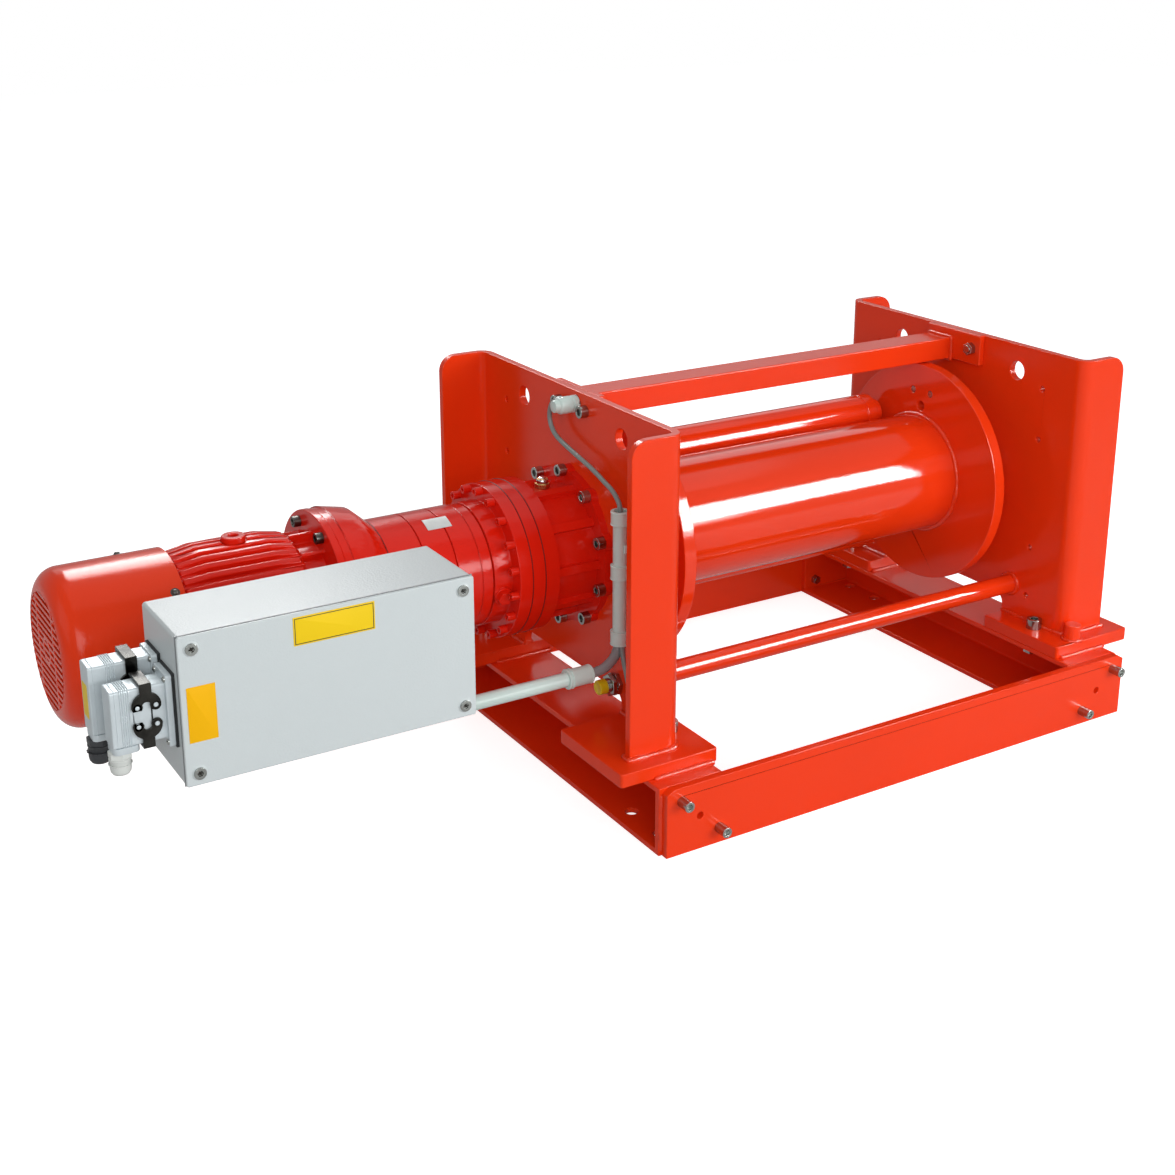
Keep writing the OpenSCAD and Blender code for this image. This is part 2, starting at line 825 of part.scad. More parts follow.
// Side frames
module frame_outline(w, d, r) {
    translate([0, -w / 2 + r]) square([d, w - 2 * r]);
    translate([r, -w / 2]) square([d - r, w]);
    for (y = [-1, 1]) translate([r, y * (w / 2 - r)]) circle(r = r);
}

// One side frame with its web's inner face at x 0, opening to +X
module side_frame() {
    difference() {
        translate([0, 0, frame_z]) linear_extrude(frame_h) difference() {
            frame_outline(frame_w, frame_d, frame_bend_r);
            translate([web_t, 0]) frame_outline(frame_w - 2 * web_t, frame_d, frame_bend_r - web_t);
        }
        flange_corner_cut();
        frame_holes();
    }
}

module flange_corner_cut() {
    translate([frame_d - flange_corner_r, frame_w / 2 + over, frame_top - flange_corner_r])
        rotate([90, 0, 0]) linear_extrude(frame_w + 2 * over) difference() {
            square([flange_corner_r + over, flange_corner_r + over]);
            circle(r = flange_corner_r);
        }
}

module web_hole(y, z, r) {
    along_x(0, y, z) hole(r, web_t);
}

module frame_holes() {
    along_x(-over, -arch_w / 2, frame_z - arch_h) linear_extrude(web_t + 2 * over)
        round_rect([arch_w, 2 * arch_h], arch_r);
    for (y = [-1, 1]) {
        web_hole(y * lift_hole_span / 2, frame_top - lift_hole_drop, lift_hole_r);
        for (rise = small_hole_rise, s = [-1, 1])
            web_hole(y * small_hole_span / 2, axis_z + s * rise, small_hole_r);
    }
    for (y = bar_screw_y) web_hole(y, frame_top - bar_screw_drop, hole_r(bar_screw_d));
    web_hole(0, axis_z, pilot_r);
    on_axis(0) around(gb_screws, gb_screw_r, 90) hole(hole_r(gb_screw_d), web_t);
}

module left_side_frame() {
    color("#d8301c") mirror([1, 0, 0]) translate([web_in, 0, 0]) difference() {
        side_frame();
        web_hole(sensor_y, sensor_z, sensor_r + screw_gap);
    }
}

module right_side_frame() {
    color("#d8301c") translate([web_in, 0, 0]) side_frame();
}

module foot_plates() {
    color("#d8301c") {
        for (x = [0, 1], y = [0, 1]) mirror([x, 0, 0]) mirror([0, y, 0]) difference() {
            translate([foot_x0, foot_y - foot_w / 2, foot_z]) linear_extrude(foot_t)
                round_rect([foot_l, foot_w], foot_corner_r);
            for (bx = foot_bolt_x) translate([bx, foot_bolt_y, foot_z]) hole(hole_r(foot_bolt_d), foot_t);
        }
        translate([stub_at[0], -stub_at[1], frame_z]) cylinder(r = stub_r, h = stub_h);
    }
}

module foot_bolts() {
    grip = foot_t + rail_t + foot_nut_h + over;
    color("silver") for (x = [-1, 1], y = [-1, 1], bx = foot_bolt_x)
        translate([x * bx, y * foot_bolt_y, 0]) {
            translate([0, 0, frame_z]) cap_screw(foot_bolt_d, grip);
            translate([0, 0, base_h - rail_t - foot_nut_h]) nut(foot_bolt_d);
        }
}

// Cross bar, rods and the screws in the webs
module top_cross_bar() {
    bar_z = frame_top - bar_drop - bar_h;
    plate_t = bar_plate[2];
    color("#d8301c") {
        difference() {
            translate([-web_in + plate_t, bar_y - bar_w / 2, bar_z])
                cube([frame_gap - 2 * plate_t, bar_w, bar_h]);
            translate([-web_in, bar_y - bar_w / 2 + bar_t, bar_z + bar_t])
                cube([frame_gap, bar_w - 2 * bar_t, bar_h - 2 * bar_t]);
        }
        for (x = [0, 1]) mirror([x, 0, 0]) difference() {
            translate([web_in - plate_t, -bar_plate[0] / 2, frame_top - bar_plate[1]])
                cube([plate_t, bar_plate[0], bar_plate[1]]);
            for (y = bar_screw_y) along_x(web_in - plate_t, y, frame_top - bar_screw_drop)
                hole(hole_r(bar_screw_d), plate_t);
        }
    }
}

module web_screws() {
    bar_grip = web_t + bar_plate[2];
    nut_h = bar_screw_d * nut_h_share;
    color("silver") {
        for (x = [0, 1]) mirror([x, 0, 0]) {
            along_x(web_out, bar_screw_y[0], frame_top - bar_screw_drop)
                cap_screw(bar_screw_d, bar_grip + nut_h + over);
            along_x(web_out, bar_screw_y[1], frame_top - bar_screw_drop)
                cap_screw(bar_screw_d, bar_grip);
            along_x(web_in - bar_plate[2] - nut_h, bar_screw_y[0], frame_top - bar_screw_drop)
                nut(bar_screw_d);
        }
        on_axis(web_out + bearing_plate_t) around(gb_screws, gb_screw_r, 90)
            cap_screw(gb_screw_d, bearing_plate_t + web_t);
        gear_side(gb_flange_t) around(gb_screws, gb_screw_r, 90)
            cap_screw(gb_screw_d, gb_flange_t + web_t);
    }
}

module tie_rods() {
    color("#d8301c") for (y = tie_y) along_x(-web_in, y, frame_z + tie_rise)
        cylinder(r = tie_r, h = frame_gap);
}

// Drum
module drum_barrel() {
    color("#b02015") on_axis(drum_left) ring(drum_w, barrel_r, barrel_r - barrel_t);
}

module drum_flange(x) {
    difference() {
        on_axis(x) ring(drum_flange_t, drum_flange_r, drum_bore_r);
        on_axis(x) around(hub_screws, hub_screw_r) hole(hole_r(hub_screw_d), drum_flange_t);
    }
}

module drum_flanges() {
    color("#b02015") {
        drum_flange(drum_left - drum_flange_t);
        difference() {
            drum_flange(drum_right);
            on_axis(drum_right) rotate([0, 0, 90]) {
                translate([clamp_r - clamp_size[0], 0, 0]) hole(rope_hole_r, drum_flange_t);
                for (y = [-1, 1]) translate([clamp_r, y * clamp_screw_y, 0])
                    hole(hole_r(clamp_screw_d), drum_flange_t);
            }
        }
    }
}

module hub_plate_solid() {
    difference() {
        cylinder(r = hub_plate_r, h = hub_plate_t);
        around(hub_screws, hub_screw_r) hole(hole_r(hub_screw_d), hub_plate_t);
    }
}

module drive_hub() {
    x = drum_left - drum_flange_t - hub_plate_t;
    color("#7d2018") difference() {
        union() {
            on_axis(x) hub_plate_solid();
            on_axis(x - hub_l) cylinder(r = hub_r, h = hub_l);
        }
        on_axis(x - hub_l) hole(output_r + fit_gap, hub_l + hub_plate_t);
    }
}

module drum_journal() {
    x = drum_right + drum_flange_t;
    color("dimgray") {
        on_axis(x) hub_plate_solid();
        on_axis(x + hub_plate_t) cylinder(r = journal_r, h = journal_end - x - hub_plate_t);
    }
}

module drum_fasteners() {
    right = drum_right + drum_flange_t;
    color("silver") {
        on_axis(right + hub_plate_t) around(hub_screws, hub_screw_r)
            cap_screw(hub_screw_d, hub_screw_grip);
        mirror([1, 0, 0]) on_axis(-drum_left + drum_flange_t + hub_plate_t)
            around(hub_screws, hub_screw_r) cap_screw(hub_screw_d, hub_screw_grip);
        on_axis(right) rotate([0, 0, 90]) {
            difference() {
                translate([clamp_r - clamp_size[0] / 2, -clamp_size[1] / 2, 0])
                    cube(clamp_size);
                for (y = [-1, 1]) translate([clamp_r, y * clamp_screw_y, 0])
                    hole(hole_r(clamp_screw_d), clamp_size[2]);
                translate([clamp_r - clamp_size[0], 0, 0]) rotate([0, 90, 0])
                    cylinder(r = rope_hole_r, h = 2 * clamp_size[0]);
            }
            for (y = [-1, 1]) translate([clamp_r, y * clamp_screw_y, clamp_size[2]])
                cap_screw(clamp_screw_d, clamp_size[2] + drum_flange_t - over);
        }
    }
}

module planet_carrier() {
    color("slategray") {
        gear_side(output_u) cylinder(r = output_r, h = carrier_u - output_u);
        gear_side(carrier_u) cylinder(r = carrier_r, h = carrier_t);
        gear_side(carrier_u + carrier_t / 2) around(planets, orbit_r, 90)
            cylinder(r = pin_r, h = carrier_t / 2 + carrier_gap + ring_gear_l);
    }
}

module drum_bearing() {
    ball_ring_r = (journal_r + bearing_r) / 2;
    ball_r = (bearing_r - journal_r) / 2 - bearing_race_t / 2;
    color("gainsboro") on_axis(bearing_x) {
        difference() {
            ring(bearing_w, bearing_r, bearing_r - bearing_race_t);
            bearing_groove(ball_ring_r, ball_r);
        }
        difference() {
            ring(bearing_w, journal_r + run_gap + bearing_race_t, journal_r + run_gap);
            bearing_groove(ball_ring_r, ball_r);
        }
        translate([0, 0, bearing_w / 2]) around(bearing_balls, ball_ring_r)
            sphere(r = ball_r - fit_gap);
    }
}

module bearing_groove(ring_r, ball_r) {
    translate([0, 0, bearing_w / 2]) rotate_extrude() translate([ring_r, 0]) circle(r = ball_r);
}

module bearing_housing() {
    room = bearing_w + bearing_end_gap;
    color("#d8301c") difference() {
        union() {
            on_axis(web_out) cylinder(r = bearing_flange_r, h = bearing_plate_t);
            on_axis(web_out) cylinder(r = bearing_r + bearing_wall, h = bearing_in + room + bearing_plate_t);
            on_axis(web_in) cylinder(r = pilot_r - fit_gap, h = web_t);
        }
        on_axis(web_in) hole(journal_r + journal_gap, web_t + bearing_in);
        on_axis(bearing_x) cylinder(r = bearing_r + fit_gap, h = room);
        on_axis(web_out) around(gb_screws, gb_screw_r, 90) hole(hole_r(gb_screw_d), bearing_plate_t);
    }
}

// Pressure roller
module at_roller(x) along_x(x, roller_y, roller_z) children();
module at_pivot(x) along_x(x, pivot_y, pivot_z) children();

module pressure_roller() {
    color("#d8301c") at_roller(drum_x - roller_l / 2) difference() {
        ring(roller_l, roller_r, roller_axle_r + run_gap);
        translate([0, 0, roller_l - roller_groove[0]])
            ring(roller_groove[1], roller_r + over, roller_r - roller_groove[2]);
    }
}

module roller_axle() {
    color("silver") at_roller(arm_left_x) cylinder(r = roller_axle_r, h = arm_right_x + arm_t - arm_left_x);
}

module arm() {
    difference() {
        linear_extrude(arm_t) {
            circle(r = arm_hub_r);
            rotate([0, 0, arm_deg]) {
                translate([0, -arm_w / 2]) square([arm_l, arm_w]);
                translate([arm_l, 0]) circle(r = arm_tip_r);
            }
        }
        hole(bush_r + fit_gap, arm_t);
        rotate([0, 0, arm_deg]) translate([arm_l, 0, 0]) hole(roller_axle_r + fit_gap, arm_t);
        arc_slot();
    }
}

// Arc slot that lets the arm swing past the spring's end
module arc_slot() {
    slot_r = spring_wire_r + tang_gap;
    rotate([0, 0, -tang_gap]) rotate_extrude(angle = slot_deg) translate([spring_r - slot_r, -over])
        square([2 * slot_r, arm_t + 2 * over]);
    for (a = [0, slot_deg]) rotate([0, 0, a - tang_gap]) translate([spring_r, 0, 0])
        hole(slot_r - fit_gap, arm_t);
}

module roller_arms() {
    color("#d8301c") for (x = [arm_left_x, arm_right_x]) at_pivot(x) arm();
}

module pivot_shaft() {
    color("silver") {
        at_pivot(-web_in) cylinder(r = pivot_r, h = frame_gap);
        for (x = [arm_left_x + arm_t + spring_seat + spring_reach,
                  arm_right_x - spring_seat - spring_reach - collar_w])
            at_pivot(x) difference() {
                ring(collar_w, collar_r, pivot_r);
                rotate([0, 0, 2 * spring_turn]) translate([spring_r, 0, 0])
                    hole(spring_wire_r + tang_gap, collar_w);
            }
    }
}

module pivot_bushes() {
    color("#b08040") for (x = [arm_left_x, arm_right_x]) at_pivot(x)
        ring(arm_t, bush_r, pivot_r + run_gap);
}

// Spring wire: an end, a bend, the coils, a bend and the other end
function spring_bend_points(x, sign, deg) = [for (t = [30:30:90])
    [x + sign * spring_bend * (1 - cos(t)),
     deg + sign * spring_bend * sin(t) / spring_r * 180 / PI]];
function spring_places() =
    let (top = spring_l, last = spring_turns * 360, low = spring_bend_points(0, -1, 0),
         high = spring_bend_points(top, 1, last), tang = arm_t - over)
    concat([[low[2][0] - tang, low[2][1]]], [for (k = [2:-1:0]) low[k]],
        [for (k = [0:spring_turns * 8]) [k * spring_pitch / 8, k * 45]], high,
        [[high[2][0] + tang, high[2][1]]]);
function coil_point(place) = [spring_r * cos(place[1]), spring_r * sin(place[1]), place[0]];

module spring() {
    places = spring_places();
    swept_tube([for (p = places) coil_point(p)], spring_wire_r, 6,
        [for (p = places) [cos(p[1]), sin(p[1]), 0]]);
}

module roller_springs() {
    echo(least_spring_gap = spring_pitch - 2 * spring_wire_r);
    color("#3a3a3c") {
        at_pivot(arm_left_x + arm_t + spring_seat + spring_bend)
            rotate([0, 0, spring_turn]) spring();
        at_pivot(arm_right_x - spring_seat - spring_bend) rotate([180, 0, 0])
            rotate([0, 0, -spring_turn]) mirror([0, 1, 0]) spring();
    }
}

// Gears
function inv_deg(a) = tan(a) * 180 / PI - a;
function base_r(teeth) = teeth * gear_m / 2 * cos(press_deg);
function tooth_half(r, teeth, grow) = 90 / teeth + grow / (teeth * gear_m / 2) * 180 / PI
    + inv_deg(press_deg) - inv_deg(acos(min(1, base_r(teeth) / r)));
function polar(r, a) = [r * cos(a), r * sin(a)];
function flank(teeth, low, tip, grow, side, a) = [for (k = [0:flank_steps])
    let (r = low + (tip - low) * k / flank_steps) polar(r, a + side * tooth_half(r, teeth, grow))];
function gear_points(teeth, root, tip, grow) = let (low = max(root, base_r(teeth)))
    [for (i = [0:teeth - 1]) let (a = i * 360 / teeth, half = tooth_half(low, teeth, grow),
            up = flank(teeth, low, tip, grow, -1, a), down = flank(teeth, low, tip, grow, 1, a))
        each concat(root < low ? [polar(root, a - half)] : [], up,
            [for (k = [flank_steps:-1:0]) down[k]], root < low ? [polar(root, a + half)] : [])];

module spur(teeth, h) {
    pitch_r = teeth * gear_m / 2;
    linear_extrude(h) polygon(gear_points(teeth, pitch_r - root_share * gear_m,
        pitch_r + tip_share * gear_m, -backlash));
}

module planet_gear(index) {
    a = 90 + index * 360 / planets;
    color("#8c8f94") gear_side(u_ring + gear_side_gap) rotate([0, 0, a]) translate([orbit_r, 0, 0])
        difference() {
            spur(planet_teeth, ring_gear_l - 2 * gear_side_gap);
            hole(pin_r + run_gap, ring_gear_l);
        }
}

module planet_gear_1() planet_gear(0);
module planet_gear_2() planet_gear(1);
module planet_gear_3() planet_gear(2);

module sun_shaft() {
    color("#8c8f94") {
        gear_side(u_ring + gear_side_gap) spur(sun_teeth, ring_gear_l - 2 * gear_side_gap);
        gear_side(u_stage_flange - 2 * gear_side_gap)
            cylinder(r = sun_shaft_r, h = stage_flange_l + stage_l / 2);
        gear_side(u_stage + stage_l / 2 - 2 * gear_side_gap) cylinder(r = input_disc_r, h = input_disc_t);
    }
}

module ring_gear() {
    pitch_r = ring_teeth * gear_m / 2;
    color("#c8281a") gear_side(u_ring) difference() {
        cylinder(r = gb_rim_r, h = ring_gear_l);
        translate([0, 0, -over]) rotate([0, 0, 90])
            linear_extrude(ring_gear_l + 2 * over)
            polygon(gear_points(ring_teeth, pitch_r - tip_share * gear_m,
                pitch_r + root_share * gear_m, backlash));
        around(ring_screws, ring_screw_r, 90) hole(hole_r(ring_screw_d), ring_gear_l);
    }
}

module ring_gear_screws() {
    color("#c8281a") gear_side(u_stage) around(ring_screws, ring_screw_r, 90) {
        translate([0, 0, ring_washer_t])
            cap_screw(ring_screw_d, ring_washer_t + stage_flange_l + ring_gear_l + gb_rim_l / 2);
        ring(ring_washer_t, ring_screw_d * cap_head_r_share, ring_screw_d / 2 + fit_gap);
    }
}

module gearbox_housing() {
    rib_start = 90 + 180 / gb_screws;
    color("#d8301c") difference() {
        union() {
            gear_side(0) linear_extrude(gb_flange_t) {
                circle(r = gb_flange_r);
                around(gb_screws, gb_screw_r - gb_lobe_r / 2, 90) circle(r = gb_lobe_r);
            }
            gear_side(0) cylinder(r = gb_core_r, h = u_ring);
            gear_side(u_cast) around(gb_screws, gb_core_r - over, rib_start)
                translate([0, -gb_rib_w / 2, -over])
                cube([gb_rib_r - gb_core_r + over, gb_rib_w, gb_cast_l + 2 * over]);
            gear_side(u_rim) cylinder(r = gb_rim_r, h = gb_rim_l);
        }
        gear_side(0) hole(gb_bore_r, u_ring);
        gear_side(u_ring - 2 * carrier_gap - carrier_t)
            cylinder(r = carrier_r + carrier_gap, h = 2 * carrier_gap + carrier_t + over);
        gear_side(0) around(gb_screws, gb_screw_r, 90) hole(hole_r(gb_screw_d), gb_flange_t);
        gear_side(u_ring - gb_rim_l + over) around(ring_screws, ring_screw_r, 90)
            cylinder(r = hole_r(ring_screw_d), h = gb_rim_l + over);
        gear_side(u_cast + gb_cast_l / 2) rotate([-90, 0, 0])
            cylinder(r = plug_thread_r + fit_gap, h = gb_rib_r);
    }
}

module stage_housing() {
    edges = concat([0], [for (s = stage_seam_shares) s * stage_l], [stage_l]);
    color("#d8301c") difference() {
        union() {
            gear_side(u_stage_flange) cylinder(r = gb_rim_r, h = stage_flange_l);
            for (i = [0:len(edges) - 2]) gear_side(u_stage + edges[i]) {
                cylinder(r = stage_r - stage_step, h = edges[i + 1] - edges[i]);
                translate([0, 0, i == 0 ? 0 : stage_seam]) cylinder(
                    r = i == 1 ? stage_r - stage_step / 2 : stage_r,
                    h = edges[i + 1] - edges[i] - (i == 0 ? 0 : stage_seam));
            }
            plug_frame() cylinder(r = plug_boss_r, h = stage_t);
        }
        gear_side(u_stage_flange - over)
            cylinder(r = stage_r - stage_t, h = stage_flange_l + stage_l - stage_t + over);
        gear_side(u_dome - stage_t) hole(motor_bearing_r + fit_gap, stage_t);
        gear_side(u_stage_flange) around(ring_screws, ring_screw_r, 90)
            hole(hole_r(ring_screw_d), stage_flange_l);
        plug_frame() translate([0, 0, -stage_t]) cylinder(r = plug_thread_r + fit_gap, h = 3 * stage_t);
    }
}

// Frame of the oil plug, a little below the stage housing's front
module plug_frame() {
    gear_side(u_stage + plug_boss_r + over) rotate([0, 0, plug_deg])
        translate([stage_r - stage_t + plug_boss_out, 0, 0]) rotate([0, 90, 0]) children();
}

module gearbox_plugs() {
    color("#c8281a") plug_frame() {
        translate([0, 0, stage_t]) cylinder(r = plug_head[0], h = plug_head[1], $fn = 6);
        translate([0, 0, over]) cylinder(r = plug_thread_r, h = stage_t);
    }
    color("#b59a4c") gear_side(u_cast + gb_cast_l / 2) rotate([-90, 0, 0]) {
        translate([0, 0, gb_core_r]) cylinder(r = breather_hex_r, h = breather_h / 2, $fn = 6);
        translate([0, 0, gb_core_r - stage_t]) cylinder(r = plug_thread_r, h = stage_t + over);
        translate([0, 0, gb_core_r]) cylinder(r = breather_r, h = breather_h);
    }
}

// Motor
module adapter_dome() {
    shoulder = dome_l * dome_shoulder_share;
    color("#d8301c") difference() {
        union() {
            gear_side(u_dome) rotate_extrude() polygon([[0, 0], [stage_r, 0],
                [dome_shoulder_r, shoulder], [dome_r, dome_l], [0, dome_l]]);
            gear_side(u_dome_flange - over)
                cylinder(r = dome_r - dome_lip, h = dome_flange_l / 2 + over);
        }
        gear_side(u_dome - over) cylinder(r = dome_bore_r, h = dome_l + dome_flange_l);
        gear_side(u_dome + shoulder) cylinder(r = dome_cavity_r, h = dome_l + dome_flange_l);
        gear_side(u_dome_flange) adapter_holes();
    }
}

module adapter_holes() {
    around(adapter_bolts, adapter_bolt_r, 180 / adapter_bolts)
        hole(hole_r(adapter_bolt_d), dome_flange_l);
}

module motor_end_shield() {
    u0 = u_dome_flange + dome_flange_l / 2;
    flange_l = dome_flange_l / 2;
    color("#d8301c") difference() {
        union() {
            gear_side(u0) cylinder(r = dome_r - dome_lip / 2, h = flange_l);
            gear_side(u0) cylinder(r = neck_r, h = flange_l + neck_l);
            gear_side(u0) around(neck_ribs, 0, 90) translate([0, -neck_rib_t / 2, 0])
                cube([core_r, neck_rib_t, flange_l + neck_l]);
        }
        gear_side(u0) hole(motor_bearing_r + fit_gap, flange_l + neck_l);
        gear_side(u_neck - dome_flange_l) adapter_holes();
    }
}

module adapter_bolts() {
    color("#2e2e30") gear_side(u_neck) around(adapter_bolts, adapter_bolt_r, 180 / adapter_bolts)
        cap_screw(adapter_bolt_d, dome_flange_l);
}

module motor_housing() {
    pad = [terminal[0] + 2 * pad_rim, terminal[1] + 2 * pad_rim];
    fin_l = motor_l - 2 * fin_end_gap;
    color("#d8301c") difference() {
        union() {
            gear_side(u_motor) cylinder(r = core_r, h = motor_l);
            gear_side(u_motor + fin_end_gap) for (i = [0:fins - 1]) rotate([90, 0, i * 360 / fins])
                translate([0, 0, -fin_t / 2]) linear_extrude(fin_t) polygon([[core_r - fin_root, 0],
                    [fin_r - fin_drop, 0], [fin_r, fin_run], [fin_r, fin_l - fin_run],
                    [fin_r - fin_drop, fin_l], [core_r - fin_root, fin_l]]);
            translate([terminal_x - pad_rim, pad_y, terminal_z - pad_rim])
                cube([pad[0], core_r / 2, pad[1]]);
            translate([eye_x, 0, axis_z + core_r - fin_root])
                cylinder(r = eye_seat_r, h = fin_h - eye_seat + fin_root);
        }
        gear_side(u_motor) hole(motor_bore_r, motor_l);
        translate([terminal_x - pad_rim - over, pad_y - 2 * fin_h, terminal_z - pad_rim - over])
            cube([pad[0] + 2 * over, 2 * fin_h, pad[1] + 2 * over]);
        translate([eye_x, 0, axis_z + fin_r - eye_seat]) cylinder(r = eye_seat_r, h = fin_h);
        translate([terminal_x + terminal[0] / 2, pad_y - over, axis_z]) rotate([-90, 0, 0])
            cylinder(r = wire_hole_r, h = core_r / 2);
    }
}

module stator() {
    color("#8a5a30") gear_side(u_motor + (motor_l - stator_l) / 2)
        ring(stator_l, motor_bore_r - fit_gap, stator_r);
}

module rotor() {
    u0 = u_dome + coupling_gap;
    color("#8c8f94") {
        gear_side(u0) cylinder(r = shaft_r, h = shaft_end_u - u0);
        gear_side(u0) cylinder(r = coupling_r, h = coupling_l);
        gear_side(u_motor + (motor_l - stator_l) / 2) cylinder(r = rotor_core_r, h = stator_l);
    }
}

module shaft_bearings() {
    output_w = bearing_w - bearing_gap;
    color("gainsboro") {
        for (u = [bearing_gap, carrier_u - 2 * carrier_gap - output_w]) gear_side(u)
            ring(output_w, gb_bore_r - fit_gap, output_r + run_gap);
        gear_side(u_stage_flange + bearing_gap)
            ring(stage_flange_l, stage_r - stage_t - fit_gap, sun_shaft_r + run_gap);
        gear_side(u_motor - motor_bearing_w)
            ring(motor_bearing_w, motor_bearing_r, shaft_r + run_gap);
        gear_side(u_cowl - motor_bearing_w)
            ring(motor_bearing_w, motor_bore_r - fit_gap, shaft_r + run_gap);
    }
}

module brake() {
    color("#5a5c60") gear_side(u_cowl) ring(brake_l, brake_r, shaft_r + brake_gap);
}

module fan() {
    blade_in = fan_hub_r - over;
    color("#2e2e30") gear_side(fan_u) {
        ring(fan_l, fan_hub_r, shaft_r + fit_gap);
        around(fan_blades, blade_in) translate([0, -fan_blade_t / 2, 0])
            cube([fan_r - blade_in, fan_blade_t, fan_l]);
    }
}

module cowl_outline(r, l, corner) {
    square([r - corner, l]);
    square([r, l - corner]);
    translate([r - corner, l - corner]) circle(r = corner);
}

module fan_cowl() {
    slats = floor(grille_r / slat_pitch);
    color("#d8301c") {
        gear_side(u_cowl) difference() {
            rotate_extrude() cowl_outline(cowl_r, cowl_l, cowl_corner_r);
            translate([0, 0, -over]) rotate_extrude()
                cowl_outline(cowl_r - cowl_t, cowl_l - cowl_t + over, cowl_corner_r - cowl_t);
            translate([0, 0, cowl_l - 2 * cowl_t]) cylinder(r = grille_r, h = 3 * cowl_t);
        }
        gear_side(u_end - cowl_t) linear_extrude(cowl_t) {
            intersection() {
                circle(r = grille_r + over);
                for (i = [-slats:slats]) translate([-cowl_r, i * slat_pitch - slat_h / 2])
                    square([2 * cowl_r, slat_h]);
            }
            difference() {
                circle(r = 2 * slat_pitch);
                circle(r = 2 * slat_pitch - slat_h);
            }
            for (i = [-1, 1]) translate([i * grille_r / 2 - slat_h / 2, -grille_r * slat_rib_share])
                square([slat_h, 2 * grille_r * slat_rib_share]);
        }
        gear_side(u_cowl) ring(cowl_t, cowl_r, cowl_seat_r);
    }
}

module lifting_eye() {
    height = eye_seat + eye_rise;
    color("#d8301c") translate([eye_x, 0, axis_z + fin_r - eye_seat]) difference() {
        cylinder(r = eye_r, h = height);
        hole(eye_hole_r, height);
    }
}

// Control box
module terminal_box() {
    depth = pad_y - box_back;
    color("#d8301c") difference() {
        translate([terminal_x, box_back, terminal_z]) cube([terminal[0], depth, terminal[1]]);
        translate([terminal_x + terminal_t, box_back - over, terminal_z + terminal_t])
            cube([terminal[0] - 2 * terminal_t, depth + 2 * over, terminal[1] - 2 * terminal_t]);
    }
}

module box_outline(inset) {
    translate([box_left + inset, box_z + inset])
        round_rect([box[0] - 2 * inset, box[2] - 2 * inset], max(box_corner_r - inset, min_round_r));
}

module control_box() {
    depth = box_depth - seal_t;
    post = cover_screw_in + post_s / 2;
    color("#c9d2d4") difference() {
        union() {
            away_y(box_back) linear_extrude(depth) difference() {
                box_outline(0);
                box_outline(box_t);
            }
            away_y(box_back) linear_extrude(box_t) box_outline(0);
            away_y(box_back - depth + cover_screw_l) linear_extrude(cover_screw_l) intersection() {
                box_outline(0);
                for (x = [box_left, box_right - post], z = [box_z, box_z + box[2] - post])
                    translate([x, z]) square([post, post]);
            }
        }
        translate([terminal_x + terminal[0] / 2, box_back, axis_z]) rotate([90, 0, 0])
            hole(wire_hole_r, box_t);
        translate([rise_x, box_back, entry_z]) rotate([90, 0, 0]) hole(conduit_r + entry_gap, box_t);
        for (at = plug_at) translate([box_left, at[0], axis_z + at[1]]) rotate([0, 90, 0])
            hole(wire_hole_r / 2, box_t);
        cover_holes();
    }
}

module cover_holes() {
    for (x = cover_screw_x, z = cover_screw_z) translate([x, -box_front, z]) rotate([-90, 0, 0])
        hole(hole_r(cover_screw_d), cover_screw_l);
}

module box_cover() {
    color("#d3dcdd") difference() {
        away_y(cover_back) linear_extrude(cover_t) box_outline(0);
        cover_holes();
    }
}

module seals() {
    color("#202224") {
        difference() {
            away_y(cover_back + seal_t) linear_extrude(seal_t) difference() {
                box_outline(over);
                box_outline(seal_w);
            }
            cover_holes();
        }
        for (at = plug_at) translate([box_left, at[0], axis_z + at[1]]) mirror([1, 0, 0])
            along_x(0) linear_extrude(gasket_t) difference() {
                translate([-plug_base[0] / 2 - over, -plug_base[1] / 2 - over])
                    square([plug_base[0] + 2 * over, plug_base[1] + 2 * over]);
                circle(r = wire_hole_r / 2);
            }
    }
}

module cover_screws() {
    color("silver") for (x = cover_screw_x, z = cover_screw_z)
        translate([x, -box_front, z]) rotate([90, 0, 0]) difference() {
            union() {
                cylinder(r = cover_head_r, h = cover_head_h);
                translate([0, 0, -cover_screw_l]) cylinder(r = cover_screw_d / 2, h = cover_screw_l + over);
            }
            translate([0, 0, cover_head_h / 2]) cylinder(r = cover_head_r / 2, h = cover_head_h, $fn = 6);
        }
}

module switchgear() {
    plate_y = box_back - box_t;
    plate = [box[0] - 2 * gear_plate_in, box[2] - 2 * gear_plate_in];
    color("#b9bcc0") difference() {
        translate([box_left + gear_plate_in, plate_y - gear_plate_t, box_z + gear_plate_in])
            cube([plate[0], gear_plate_t, plate[1]]);
        translate([terminal_x + terminal[0] / 2, plate_y, axis_z]) rotate([90, 0, 0])
            hole(wire_hole_r, gear_plate_t);
    }
    color("#3a3d42") for (i = [1:contactors])
        translate([box_right - gear_plate_in - i * contactor_pitch, plate_y - gear_plate_t - contactor[1],
            box_z + (box[2] - contactor[2]) / 2]) cube(contactor);
}

// Connectors on the box's left end
module at_plug(i) translate([box_left - gasket_t, plug_at[i][0], axis_z + plug_at[i][1]])
    mirror([1, 0, 0]) children();

// Rounded block that reaches along X from its seat
module plug_block(w, h, l) {
    along_x(0) linear_extrude(l) translate([-w / 2, -h / 2]) round_rect([w, h], plug_round_r);
}

